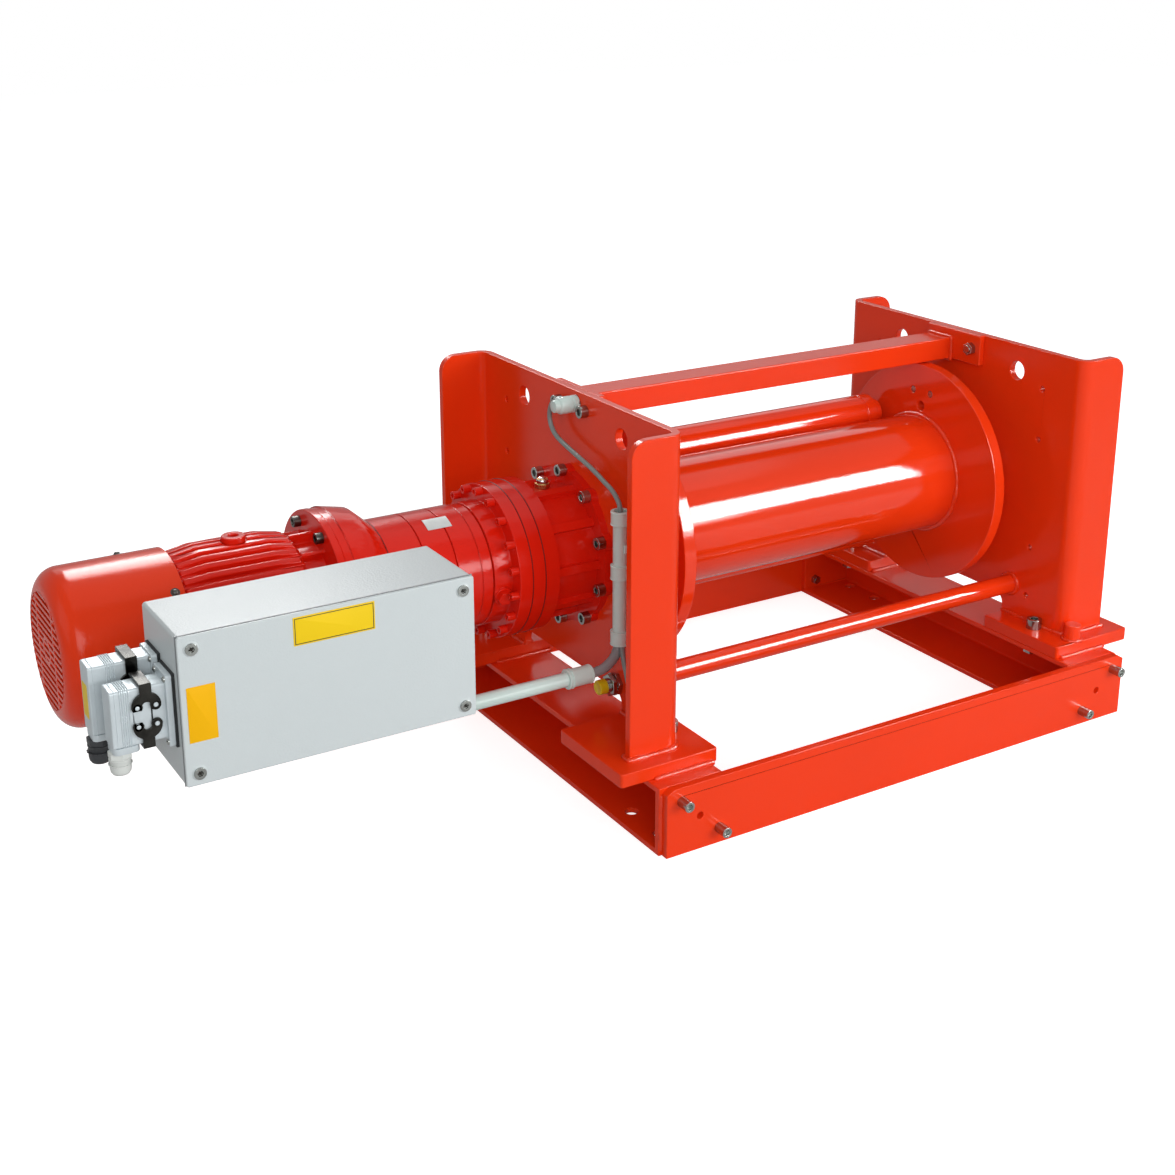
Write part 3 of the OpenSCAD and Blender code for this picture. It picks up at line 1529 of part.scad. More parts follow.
function lever_width(i) = hoods[i][0] + 2 * (lever_gap + lever_t + peg_out);

module pegs(i, x) {
    for (z = [-1, 1]) translate([x, plug_at[i][0], axis_z + plug_at[i][1] + z * peg_rise])
        rotate([90, 0, 0]) cylinder(r = peg_r, h = lever_width(i), center = true);
}

module connector_bases() {
    color("#b4bcc0") for (i = [0, 1]) {
        w = hoods[i][0];
        h = hoods[i][1];
        difference() {
            union() {
                at_plug(i) plug_block(plug_base[0], plug_base[1], plug_flange_t);
                at_plug(i) plug_block(w, h, plug_base_l - gasket_t);
                pegs(i, peg_x[0]);
            }
            at_plug(i) translate([-over, 0, 0])
                plug_block(w - plug_bore[0], h - plug_bore[1], plug_base_l + over);
        }
    }
}

module connector_hoods() {
    color("#b4bcc0") for (i = [0, 1]) {
        w = hoods[i][0];
        h = hoods[i][1];
        difference() {
            union() {
                translate([gasket_t - plug_base_l, 0, 0]) at_plug(i) plug_block(w, h, hoods[i][2]);
                pegs(i, peg_x[1]);
            }
            translate([gasket_t - plug_base_l + over, 0, 0]) at_plug(i)
                plug_block(w - plug_bore[0], h - plug_bore[1], hoods[i][2] - hood_end_t);
        }
    }
}

module glands() {
    for (i = [0, 1])
        color(i == 0 ? "white" : "#202224")
            translate([box_left - plug_base_l - hoods[i][2] + gland_in, plug_at[i][0],
                axis_z + plug_at[i][1] - hoods[i][1] / 2 - gland_l]) {
                cylinder(r = gland_r, h = gland_l / 2);
                translate([0, 0, gland_l / 2]) cylinder(r = gland_nut_r, h = gland_l / 2, $fn = 6);
            }
}

module lever_cheek(h) {
    mid = (peg_x[0] + peg_x[1]) / 2;
    difference() {
        union() {
            translate([mid, 0]) intersection() {
                difference() {
                    circle(r = lever_r);
                    circle(r = lever_hook_in);
                }
                translate([-lever_r, 0]) square([2 * lever_r, lever_r]);
            }
            for (x = peg_x) translate([x, 0]) circle(r = lever_end_r);
            translate([mid - lever_strap_w / 2, lever_end_r]) square([lever_strap_w, h - lever_end_r]);
        }
        translate([peg_x[0], 0]) circle(r = peg_r + run_gap);
        translate([peg_x[1], 0]) circle(r = peg_r + hook_gap);
        translate([peg_x[1] - peg_r - hook_gap, -2 * lever_end_r])
            square([2 * (peg_r + hook_gap), 2 * lever_end_r]);
    }
}

// A lever: two hooked cheeks and a bridge past the connector's end
module lever(i, up) {
    mid = (peg_x[0] + peg_x[1]) / 2;
    half = hoods[i][0] / 2 + lever_gap;
    h = hoods[i][1] / 2 - peg_rise + lever_gap + lever_bridge_t;
    color("#4a4d4c") translate([0, plug_at[i][0], axis_z + plug_at[i][1] + up * peg_rise])
        mirror([0, 0, up > 0 ? 0 : 1]) {
            for (y = [-half, half + lever_t]) away_y(y) linear_extrude(lever_t) lever_cheek(h);
            translate([mid - lever_strap_w / 2, -half - over, h - lever_bridge_t])
                cube([lever_strap_w, 2 * half + 2 * over, lever_bridge_t]);
        }
}

module upper_front_lever() lever(0, 1);
module lower_front_lever() lever(0, -1);
module upper_rear_lever() lever(1, 1);
module lower_rear_lever() lever(1, -1);

// Conduits, cables and sensors
module conduit_run(r) {
    along_x(rise_x + conduit_bend, level_y, level_z) cylinder(r = r, h = level_x - rise_x - conduit_bend);
    translate([rise_x + conduit_bend, level_y, level_z + conduit_bend]) rotate([90, 0, 0])
        rotate([0, 0, 180]) rotate_extrude(angle = 90) translate([conduit_bend, 0]) circle(r = r);
    translate([rise_x, level_y, level_z + conduit_bend])
        cylinder(r = r, h = entry_z - level_z - 2 * conduit_bend);
    translate([rise_x, level_y - conduit_bend, entry_z - conduit_bend]) rotate([90, 0, 90])
        rotate_extrude(angle = 90) translate([conduit_bend, 0]) circle(r = r);
    translate([rise_x, level_y - conduit_bend, entry_z]) rotate([90, 0, 0])
        cylinder(r = r, h = level_y - conduit_bend - box_back + box_t);
}

module conduits() {
    color("#dfe3e0") {
        difference() {
            union() {
                conduit_run(conduit_r);
                along_x(level_x - coupler_l, level_y, level_z) cylinder(r = coupler_r, h = coupler_l);
            }
            conduit_run(conduit_r - conduit_t);
        }
        difference() {
            union() {
                translate([upright_x, upright_y, upright_lo])
                    cylinder(r = conduit_r, h = upright_hi - upright_lo);
                for (z = [upright_lo, (upright_lo + upright_hi) / 2, upright_hi - coupler_l / 2])
                    translate([upright_x, upright_y, z]) cylinder(r = coupler_r, h = coupler_l / 2);
                translate([upright_x, upright_y - clip_w, (upright_lo + upright_hi) / 2 + coupler_l])
                    cube([upright_at[0], 2 * clip_w, clip_w]);
            }
            translate([upright_x, upright_y, upright_lo])
                hole(conduit_r - conduit_t, upright_hi - upright_lo);
        }
        sensor_plug();
    }
    color("#c9a800") sensor();
}

module sensor_plug() {
    along_x(-web_out - sensor_plug_l, plug_y, plug_z) cylinder(r = sensor_plug_r, h = sensor_plug_l);
    translate([-web_out - plug_arm_in, plug_y, plug_z]) rotate([-90, 0, 0])
        cylinder(r = plug_arm_r, h = plug_arm_l);
}

module sensor() {
    along_x(-web_out - sensor_out, sensor_y, sensor_z)
        cylinder(r = sensor_r, h = sensor_out + web_t + sensor_in);
    for (x = [-web_out - sensor_nut_h, -web_in]) along_x(x, sensor_y, sensor_z)
        cylinder(r = sensor_nut_r, h = sensor_nut_h, $fn = 6);
}

module cables() {
    color("#8d9296") {
        cable(hose_route, hose_r, [0, 1, 0]);
        cable(plug_route, cable_r, [1, 0, 0]);
        cable(sensor_route, cable_r, [1, 2, 3]);
    }
}

left_rail();
right_rail();
cross_plates();
cross_plate_screws();
left_side_frame();
right_side_frame();
foot_plates();
foot_bolts();
top_cross_bar();
web_screws();
tie_rods();
drum_barrel();
drum_flanges();
drive_hub();
drum_fasteners();
drum_journal();
planet_carrier();
drum_bearing();
bearing_housing();
pressure_roller();
roller_axle();
roller_arms();
pivot_shaft();
pivot_bushes();
roller_springs();
gearbox_housing();
ring_gear();
ring_gear_screws();
planet_gear_1();
planet_gear_2();
planet_gear_3();
sun_shaft();
stage_housing();
gearbox_plugs();
adapter_dome();
motor_end_shield();
adapter_bolts();
motor_housing();
stator();
rotor();
shaft_bearings();
brake();
fan();
fan_cowl();
lifting_eye();
terminal_box();
control_box();
box_cover();
seals();
cover_screws();
switchgear();
connector_bases();
connector_hoods();
glands();
upper_front_lever();
lower_front_lever();
upper_rear_lever();
lower_rear_lever();
conduits();
cables();
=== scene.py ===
"""Finishes, welds, screws, cables and small fittings of an electric rope winch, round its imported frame.

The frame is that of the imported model: X along the drum axis away from the motor, -Y to the front, Z up.
Blender's lengths are metres. Places and outlines are given in millimetres where a comment says so, and
spot and the shape functions turn them into metres.
"""
import json
import math

import bmesh
import bpy
from bpy.props import FloatProperty, FloatVectorProperty, IntProperty, PointerProperty
from bpy.types import Operator, Panel, PropertyGroup
from mathutils import Matrix, Vector, noise


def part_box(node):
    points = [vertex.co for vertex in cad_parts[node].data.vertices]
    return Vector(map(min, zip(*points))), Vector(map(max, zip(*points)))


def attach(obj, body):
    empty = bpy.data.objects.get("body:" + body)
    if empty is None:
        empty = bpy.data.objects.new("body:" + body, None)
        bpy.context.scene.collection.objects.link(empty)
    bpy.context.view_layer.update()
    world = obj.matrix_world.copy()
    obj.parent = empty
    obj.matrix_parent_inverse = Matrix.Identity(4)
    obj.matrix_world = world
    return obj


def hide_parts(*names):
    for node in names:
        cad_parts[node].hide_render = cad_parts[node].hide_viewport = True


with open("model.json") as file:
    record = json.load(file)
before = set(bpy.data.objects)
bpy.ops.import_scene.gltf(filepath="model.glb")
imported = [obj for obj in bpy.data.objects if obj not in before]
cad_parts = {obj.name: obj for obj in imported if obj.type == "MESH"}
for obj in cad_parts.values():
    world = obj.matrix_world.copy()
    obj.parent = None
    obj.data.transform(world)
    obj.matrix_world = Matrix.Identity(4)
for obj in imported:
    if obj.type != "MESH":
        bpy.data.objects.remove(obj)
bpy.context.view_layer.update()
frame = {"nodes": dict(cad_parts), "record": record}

bl_info = {
    "name": "Rope winch dress",
    "version": (1, 0, 0),
    "blender": (4, 5, 0),
    "location": "3D View > Sidebar > Winch",
    "description": "Dresses an electric rope winch with its finishes, welds, screws, cables and fittings",
    "category": "Object",
}

MM = 0.001
# Points nearer than this are merged
MERGE = 0.000002


def middle_of(node):
    low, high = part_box(node)
    return (low + high) / 2


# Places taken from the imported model, in metres
AXIS_Z = middle_of("drum_barrel").z
BARREL_LOW, BARREL_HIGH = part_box("drum_barrel")
BARREL_R = (BARREL_HIGH.y - BARREL_LOW.y) / 2
FRAME_LOW, FRAME_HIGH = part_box("right_side_frame")
FOOT_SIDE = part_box("foot_plates")[1].y
RAIL_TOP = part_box("cross_plates")[1].z
COVER_LOW, COVER_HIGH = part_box("box_cover")

# What the weld beads follow, in millimetres
WEB_WALL = 12
WEB_BEND_R = 22
FOOT_INNER_Y = 142
FOOT_WELD_X = (330, 427)
STUB_X = 370
STUB_Y = -288
STUB_R = 13
TIE_ROD_Y = (-156, 140)
TIE_ROD_Z = 171
TIE_ROD_R = 15
CROSS_BAR_Y = (5, 55)
CROSS_BAR_Z = (515, 550)
CROSS_BAR_PLATE = 10
BASE_END_X = 431
BASE_INNER_Y = 328
BASE_CORNER_Z = (7, 90)
DRUM_FLANGE_WALL = 20
HUB_PLATE_R = 85

# Control box: screws inside the cover's edges, the turn and depth of their slots, whose black crosses are
# painted shade, the seam behind the cover, where a dark strip is painted shadow, place and size of each blank
# plate, and its border inside its edge; millimetres and radians
SCREW_INSET = 15
SLOT_TURN = 0.4
SLOT_SINK = 0.35
SEAM_BEHIND = 2.2
NAME_PLATE = (-895, 448.7, 97, 33.5)
END_PLATE = (-1050.5, 379, 32, 64.5)
BORDER_INSET = 1.5

# Connectors: place across and height of each middle line, width, height and reach of the hood; millimetres
PLUGS = ((-324, 381, 30, 66, 44), (-277, 387, 31, 80, 53))
HOOD_FACE = -1098
BASE_FACE = -1083
FLANGE_SCREW_Y = 16.4
FLANGE_SCREW_Z = 36.5
RIB_COUNT = 5
RIB_START = 23.6
RIB_STEP = 2.3
END_RIB = 5.5
MARK_SHARE = 0.68
STICKER = (-275, 384, 40, 19)

# Cable glands: piece, finish, slot, radius and length; their places in and below the hoods; millimetres
GLANDS = (("white_gland", "gland_white", "white_plastic", 12.2, 28),
          ("black_gland", "dark_plastic", "dark_plastic", 13.2, 31))
GLAND_IN = 10
GLAND_DROP = 7
GLAND_RIDGES = 18

# Conduits, sensor and its plug: middle lines, and where the couplers' rims lie along them; millimetres
LEVEL_Y = -165
LEVEL_Z = 205
LEVEL_RIMS_X = (-482, -477)
LEVEL_MOUTH_X = -446
UPRIGHT_X = -390
UPRIGHT_Y = -156
UPRIGHT_RIMS_Z = (235, 253.5, 332, 350.5, 411, 428)
SENSOR_Y = -128
SENSOR_Z = 160
SENSOR_BODY_X = -374
SENSOR_WASHER_X = -382.7
SENSOR_CAP_X = -397.5
PLUG_NUT_X = -376
PLUG_ARM_X = -393
PLUG_Y = -17
PLUG_Z = 547
PLUG_SCREW = (-401, -17, 559)
# The sensor's nuts: place, radius, height in millimetres, and turn in radians
SENSOR_NUTS = ((-376, 17, 6.5, 0.25), (-358.6, 14, 5.2, 0.25), (-384.6, 17, 6.5, 0.6))

# Gearbox and motor: the blank plate, the seams' nodes with end and radius, where dark rings of painted shade
# lie, the breather, and the fan cowl's screws with their angle and place along the axis; millimetres and
# degrees
STAGE_SKIN_R = 88.25
LABEL_X = -607
LABEL_SIZE = (36, 22)
LABEL_ANGLE = 22
SEAMS = (("ring_gear", 0, 111), ("ring_gear", 1, 111), ("adapter_dome", 1, 88))
BREATHER = (-423, 0, 432)
COWL_R = 102
COWL_SCREWS = ((45, -984), (135, -984), (225, -984), (315, -984), (-18, -1024))

# Points of the hose and the two cables, as in the frame's source; millimetres
HOSE_ROUTE = ((-447, -165, 205), (-435, -165, 205), (-421, -164, 207), (-408, -161, 212),
              (-398, -157, 218), (-392, -154, 226), (-390.5, -153, 234.6))
PLUG_ROUTE = ((-390, -156, 428), (-391, -154, 440), (-392, -140, 453), (-393, -120, 461),
              (-393, -84, 472), (-393, -29, 484), (-393, 6, 493), (-393, 22, 503), (-393, 29, 516),
              (-393, 28, 530), (-393, 21, 542), (-393, 12, 547), (-393, 5.5, 547))
SENSOR_ROUTE = ((-349.6, -128, 160), (-347.4, -128, 160), (-345, -128.2, 159.6), (-340, -131, 154),
                (-339, -140, 147), (-339, -156, 145), (-339, -172, 147), (-341, -184, 154),
                (-347, -190, 160), (-356, -190, 161), (-378, -190, 161), (-386, -188, 166),
                (-390, -182, 178), (-391, -174, 200), (-391, -166, 220), (-391, -164.4, 234.6))
# Heights in metres that part the conduits from the sensor and its plug
SENSOR_TOP = 0.2
PLUG_LOW = 0.5
# Cables: piece, route, radius and finish
CABLES = (("hose", HOSE_ROUTE, 7, "grey_sheath_and_seam_shadow"), ("plug_cable", PLUG_ROUTE, 3.5, "cable_sheath"),
          ("sensor_cable", SENSOR_ROUTE, 3.5, "cable_sheath"))


# Settings that a user would change
class WinchPaint(PropertyGroup):
    """Colours and gloss of the paints and plates."""
    red: FloatVectorProperty(name="Red paint", description="Colour of the machine paint", subtype="COLOR",
                             size=3, min=0, max=1, default=(0.90, 0.045, 0.005))
    box: FloatVectorProperty(name="Box paint", description="Colour of the control box", subtype="COLOR",
                             size=3, min=0, max=1, default=(0.61, 0.665, 0.675))
    plate: FloatVectorProperty(name="Plates", description="Colour of the two blank plates on the cover",
                               subtype="COLOR", size=3, min=0, max=1, default=(0.90, 0.62, 0.012))
    cast: FloatVectorProperty(name="Casting paint", description="Colour of the painted castings",
                              subtype="COLOR", size=3, min=0, max=1, default=(0.76, 0.014, 0.004))
    paint_roughness: FloatProperty(name="Paint roughness", description="Roughness of the machine paint",
                                   default=0.16, min=0.02, max=1, subtype="FACTOR")


class WinchSizes(PropertyGroup):
    """Sizes of the beads and cables."""
    bead: FloatProperty(name="Weld bead", description="Radius of the weld beads", default=0.0042, min=0.001,
                        max=0.01, unit="LENGTH")
    cable_sides: IntProperty(name="Cable sides", description="Sides of a cable's round section", default=16,
                             min=6, max=32)


class WinchStudio(PropertyGroup):
    """The camera."""
    lens: FloatProperty(name="Lens", description="Focal length of the camera", default=0.05122, min=0.01,
                        max=0.2, unit="LENGTH")
    shift: FloatProperty(name="Shift", description="Vertical shift of the camera", default=-0.12)
    place: FloatVectorProperty(name="Place", description="Place of the camera", subtype="TRANSLATION",
                               size=3, default=(-1.5465, -1.9714, 1.1687))
    azimuth: FloatProperty(name="Azimuth", description="Direction of the camera round the winch",
                           default=math.radians(-31.31), subtype="ANGLE")
    elevation: FloatProperty(name="Elevation", description="Height of the camera over the horizon",
                             default=math.radians(16.75), subtype="ANGLE")


# Shader maths: an expression on wires adds its Math nodes
class Wire:
    """One output socket of a material's node tree."""

    def __init__(self, shop, socket):
        self.shop, self.socket = shop, socket

    def _math(self, operation, first, second=None):
        values = {0: first} if second is None else {0: first, 1: second}
        return self.shop.make("ShaderNodeMath", {"operation": operation}, values)[0]

    def __add__(self, other):
        return self._math("ADD", self, other)

    def __radd__(self, other):
        return self._math("ADD", other, self)

    def __sub__(self, other):
        return self._math("SUBTRACT", self, other)

    def __rsub__(self, other):
        return self._math("SUBTRACT", other, self)

    def __mul__(self, other):
        return self._math("MULTIPLY", self, other)

    def __rmul__(self, other):
        return self._math("MULTIPLY", other, self)

    def clamp(self):
        return self._math("MINIMUM", self._math("MAXIMUM", self, 0.0), 1.0)


class Shop:
    """Builds the node tree of one material."""

    def __init__(self, tree):
        self.tree = tree

    def make(self, kind, settings=None, values=None):
        """Adds a node with its settings and its sockets' values or links, and gives its outputs."""
        node = self.tree.nodes.new(kind)
        for name, value in (settings or {}).items():
            if name == "stops":
                stops = node.color_ramp.elements
                while len(stops) < len(value):
                    stops.new(0.5)
                for stop, (position, colour) in zip(stops, value):
                    stop.position, stop.color = position, (*colour, 1.0)
            else:
                setattr(node, name, value)
        for key, value in (values or {}).items():
            if isinstance(value, Wire):
                self.tree.links.new(value.socket, node.inputs[key])
            else:
                if isinstance(value, tuple) and len(value) == 3 and node.inputs[key].type == "RGBA":
                    value = (*value, 1.0)
                node.inputs[key].default_value = value
        return [Wire(self, socket) for socket in node.outputs]

    def place(self, scale=(1.0, 1.0, 1.0)):
        """Object coordinates, stretched by scale."""
        at = self.make("ShaderNodeTexCoord")[3]
        return self.make("ShaderNodeMapping", None, {"Vector": at, "Scale": scale})[0]

    def noise(self, scale, detail=2.0, vector=None):
        vector = vector or self.place()
        return self.make("ShaderNodeTexNoise", None, {"Vector": vector, "Scale": scale, "Detail": detail})[0]

    def mix(self, factor, first, second):
        """Mixes two colours."""
        node = self.tree.nodes.new("ShaderNodeMix")
        node.data_type = "RGBA"
        for key, value in ((0, factor), (6, first), (7, second)):
            if isinstance(value, Wire):
                self.tree.links.new(value.socket, node.inputs[key])
            else:
                node.inputs[key].default_value = (*value, 1.0) if isinstance(value, tuple) else value
        return Wire(self, node.outputs[2])

    def bump(self, height, strength, distance):
        return self.make("ShaderNodeBump", None, {"Height": height, "Strength": strength,
                                                  "Distance": distance})[0]

    def band(self, value, low, high):
        """0 below low and 1 above high."""
        return self.make("ShaderNodeMapRange", None, {"Value": value, "From Min": low, "From Max": high})[0]


def new_material(name, build, **fixed):
    """A material whose build function gives what feeds its shader; fixed values go on the shader itself."""
    material = bpy.data.materials.new(name)
    material.use_nodes = True
    tree = material.node_tree
    shader = tree.nodes["Principled BSDF"]
    shop = Shop(tree)
    for key, value in fixed.items():
        socket = shader.inputs[key.replace("_", " ")]
        socket.default_value = (*value, 1.0) if isinstance(value, tuple) else value
    for key, value in build(shop).items():
        if isinstance(value, Wire):
            tree.links.new(value.socket, shader.inputs[key])
        else:
            shader.inputs[key].default_value = (*value, 1.0) if isinstance(value, tuple) else value
    return material


def shade(colour, factor):
    return tuple(min(1.0, channel * factor) for channel in colour)


def paint_build(colour, roughness, peel, grain, dust=0.03):
    """Sprayed paint: orange peel, faint streaks of thickness, and for castings the grain of the mould."""
    def build(shop):
        cloud = shop.noise(3.0, 3.0)
        fine = shop.noise(420.0, 1.0)
        coarse = shop.noise(95.0, 3.0)
        height = fine * peel + coarse * grain
        tone = shop.mix(shop.band(cloud, 0.35, 0.7), shade(colour, 1 - dust), shade(colour, 1 + dust))
        smear = shop.noise(14.0, 4.0)
        return {"Base Color": tone, "Roughness": roughness + (smear - 0.5) * 0.08,
                "Normal": shop.bump(height, 0.35, 0.0009)}
    return build


def metal_build(colour, roughness, brush=(1.0, 1.0, 1.0), scale=300.0, tint=0.12):
    """Bare or plated metal with brushed or mottled roughness."""
    def build(shop):
        lines = shop.noise(scale, 3.0, shop.place(brush))
        cloud = shop.noise(35.0, 3.0)
        tone = shop.mix(shop.band(cloud, 0.3, 0.75), shade(colour, 1 - tint), shade(colour, 1 + tint))
        return {"Base Color": tone, "Roughness": (roughness + (lines - 0.5) * 0.25).clamp(),
                "Normal": shop.bump(lines, 0.12, 0.0004)}
    return build


def plastic_build(colour, roughness, grain=0.25, tint=0.05):
    """Moulded plastic or rubber with a fine grain and faint dirt."""
    def build(shop):
        fine = shop.noise(900.0, 2.0)
        cloud = shop.noise(18.0, 4.0)
        tone = shop.mix(shop.band(cloud, 0.35, 0.75), shade(colour, 1 - tint), shade(colour, 1 + tint))
        return {"Base Color": tone, "Roughness": (roughness + (cloud - 0.5) * 0.15).clamp(),
                "Normal": shop.bump(fine, grain, 0.0002)}
    return build


# Finishes by name, filled in by make_materials
MATERIALS = {}


def make_materials(paint):
    red, cast = tuple(paint.red), tuple(paint.cast)
    box, sign = tuple(paint.box), tuple(paint.plate)
    rough = paint.paint_roughness
    soft_gloss = {"IOR": 1.5, "Specular_IOR_Level": 0.25}
    cast_gloss = {"IOR": 1.5, "Specular_IOR_Level": 0.3}
    full_gloss = {"IOR": 1.5, "Specular_IOR_Level": 0.5}
    print_gloss = {"Specular_IOR_Level": 0.15}
    bare = {"Metallic": 1.0}
    part_bare = {"Metallic": 0.3, "Specular_IOR_Level": 0.3}
    finishes = {
        "plate_red": (paint_build(red, rough, 0.5, 0.2), soft_gloss),
        "cast_red": (paint_build(cast, rough, 0.4, 1.0), cast_gloss),
        "weld_red": (paint_build(shade(red, 0.92), rough - 0.04, 0.3, 1.6), full_gloss),
        "drum_red": (paint_build(shade(red, 0.95), rough - 0.08, 0.2, 0.05), full_gloss),
        "box_grey": (paint_build(box, 0.34, 0.8, 0.1, 0.012), {"Specular_IOR_Level": 0.25}),
        "zinc": (metal_build((0.40, 0.42, 0.40), 0.2, scale=140.0, tint=0.25), bare),
        "bright_steel": (metal_build((0.62, 0.63, 0.64), 0.22, (0.06, 1.0, 1.0), 500.0), bare),
        "gear_steel": (metal_build((0.45, 0.46, 0.48), 0.34, scale=260.0), bare),
        "dark_steel": (metal_build((0.13, 0.13, 0.12), 0.36, scale=220.0, tint=0.25), bare),
        "lever_steel": (metal_build((0.042, 0.041, 0.037), 0.24, scale=120.0, tint=0.7), bare),
        "bronze": (metal_build((0.62, 0.40, 0.16), 0.3, scale=240.0), bare),
        "copper": (metal_build((0.62, 0.28, 0.12), 0.4, (1.0, 0.1, 0.1), 500.0), bare),
        "die_cast": (metal_build((0.64, 0.71, 0.74), 0.4, scale=170.0, tint=0.07), part_bare),
        "silver_plate": (metal_build((0.66, 0.69, 0.68), 0.35, (0.1, 1.0, 1.0), 700.0), {"Metallic": 0.8}),
        "rubber": (plastic_build((0.012, 0.014, 0.016), 0.5), {}),
        "white_plastic": (plastic_build((0.60, 0.73, 0.69), 0.32, 0.12, 0.03), {}),
        "gland_white": (plastic_build((0.70, 0.73, 0.70), 0.32, 0.12, 0.03), {}),
        # Dark red of painted shade, for the rings in the gearbox's seams
        "seam_shade_red": (paint_build(shade(cast, 0.12), 0.5, 0.4, 0.6), soft_gloss),
        # Grey of the hose's sheath; the same grey is the strip of painted shadow behind the box cover
        "grey_sheath_and_seam_shadow": (plastic_build((0.27, 0.29, 0.30), 0.36, 0.3), {}),
        "cable_sheath": (plastic_build((0.24, 0.29, 0.28), 0.34, 0.3), {}),
        "dark_plastic": (plastic_build((0.035, 0.038, 0.042), 0.45), {}),
        "yellow_plate": (plastic_build(sign, 0.4, 0.05, 0.02), print_gloss),
        "orange_plate": (plastic_build((0.94, 0.49, 0.002), 0.4, 0.05, 0.02), print_gloss),
        "yellow_cap": (plastic_build((0.74, 0.60, 0.01), 0.3, 0.1), {}),
        # Black of the plate's printed border; the same black is painted shade in the cover screws' slots
        "black_print_and_slot_shade": (plastic_build((0.02, 0.018, 0.012), 0.45, 0.05), {}),
    }
    for name, (build, fixed) in finishes.items():
        MATERIALS[name] = new_material(name, build, **fixed)


# Height in metres over which only the breather lies
BREATHER_LOW = 0.4


def plug_finish(centre):
    """The breather on top is bare, the plugs are painted."""
    return "bronze" if centre.z > BREATHER_LOW else "cast_red"


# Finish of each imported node, and the width of its rounded edges in millimetres, where 0 keeps its own mesh
NODE_FINISH = {
    "left_rail": ("plate_red", 1.4), "right_rail": ("plate_red", 1.4), "cross_plates": ("plate_red", 1.2),
    "left_side_frame": ("plate_red", 1.3), "right_side_frame": ("plate_red", 1.3),
    "foot_plates": ("plate_red", 1.6), "top_cross_bar": ("plate_red", 2.2), "tie_rods": ("drum_red", 0),
    "drum_barrel": ("drum_red", 0), "drum_flanges": ("drum_red", 1.5), "drive_hub": ("drum_red", 1.2),
    "bearing_housing": ("cast_red", 0), "pressure_roller": ("drum_red", 0.8),
    "roller_arms": ("plate_red", 1.0), "gearbox_housing": ("cast_red", 0), "ring_gear": ("cast_red", 0.8),
    "stage_housing": ("cast_red", 0.8), "adapter_dome": ("cast_red", 1.2),
    "motor_end_shield": ("cast_red", 1.6), "motor_housing": ("cast_red", 2.2),
    "fan_cowl": ("plate_red", 0.5), "lifting_eye": ("cast_red", 2.0), "terminal_box": ("cast_red", 1.5),
    "control_box": ("box_grey", 1.2), "ring_gear_screws": ("cast_red", 0.5),
    "drum_journal": ("bright_steel", 0.8), "planet_carrier": ("gear_steel", 0),
    "drum_bearing": ("bright_steel", 0), "roller_axle": ("bright_steel", 0.8),
    "pivot_shaft": ("bright_steel", 0.8), "pivot_bushes": ("bronze", 0),
    "roller_springs": ("dark_steel", 0), "planet_gear_1": ("gear_steel", 0),
    "planet_gear_2": ("gear_steel", 0), "planet_gear_3": ("gear_steel", 0),
    "sun_shaft": ("gear_steel", 0), "stator": ("copper", 0), "rotor": ("gear_steel", 0),
    "shaft_bearings": ("bright_steel", 0), "brake": ("dark_steel", 0.8), "fan": ("dark_plastic", 0.4),
    "seals": ("rubber", 0), "switchgear": ("dark_plastic", 0.8), "connector_bases": ("die_cast", 0.8),
    "connector_hoods": ("die_cast", 1.6), "upper_front_lever": ("lever_steel", 0.4),
    "lower_front_lever": ("lever_steel", 0.4), "upper_rear_lever": ("lever_steel", 0.4),
    "lower_rear_lever": ("lever_steel", 0.4), "adapter_bolts": ("dark_steel", 0.4),
    "web_screws": ("zinc", 0.6), "foot_bolts": ("zinc", 0.8), "cross_plate_screws": ("zinc", 0.5),
    "drum_fasteners": ("zinc", 0.6), "gearbox_plugs": (plug_finish, 0.5), "cover_screws": ("zinc", 0.4),
}
# Nodes whose rounded edges are broad and get three segments
BROAD_EDGES = ("motor_housing", "top_cross_bar", "connector_hoods", "lifting_eye")
BODY_OF = {node: body for body, nodes in frame["record"]["behaviour"]["bodies"].items() for node in nodes}


# Mesh helpers
TURNS = {"Z": Matrix(), "-Z": Matrix.Rotation(math.pi, 4, "X"), "X": Matrix.Rotation(math.pi / 2, 4, "Y"),
         "-X": Matrix.Rotation(-math.pi / 2, 4, "Y"), "Y": Matrix.Rotation(-math.pi / 2, 4, "X"),
         "-Y": Matrix.Rotation(math.pi / 2, 4, "X")}


def put(at, way="Z", turn=0.0):
    """The transform of a shape made along +Z that moves it to at and points it along way."""
    return Matrix.Translation(at) @ TURNS[way] @ Matrix.Rotation(turn, 4, "Z")


def moved(bm, matrix):
    """The shape itself, moved by matrix."""
    bmesh.ops.transform(bm, matrix=matrix, verts=bm.verts)
    return bm


def gather(shapes):
    """Joins shapes into one."""
    whole = bmesh.new()
    for shape in shapes:
        mesh = bpy.data.meshes.new("part")
        shape.to_mesh(mesh)
        shape.free()
        whole.from_mesh(mesh)
        bpy.data.meshes.remove(mesh)
    return whole


def copies(shape, matrices):
    """Copies of a shape, one for each transform."""
    mesh = bpy.data.meshes.new("part")
    shape.to_mesh(mesh)
    shape.free()
    whole = bmesh.new()
    for matrix in matrices:
        first = len(whole.verts)
        whole.from_mesh(mesh)
        whole.verts.ensure_lookup_table()
        bmesh.ops.transform(whole, matrix=matrix, verts=whole.verts[first:])
    bpy.data.meshes.remove(mesh)
    return whole


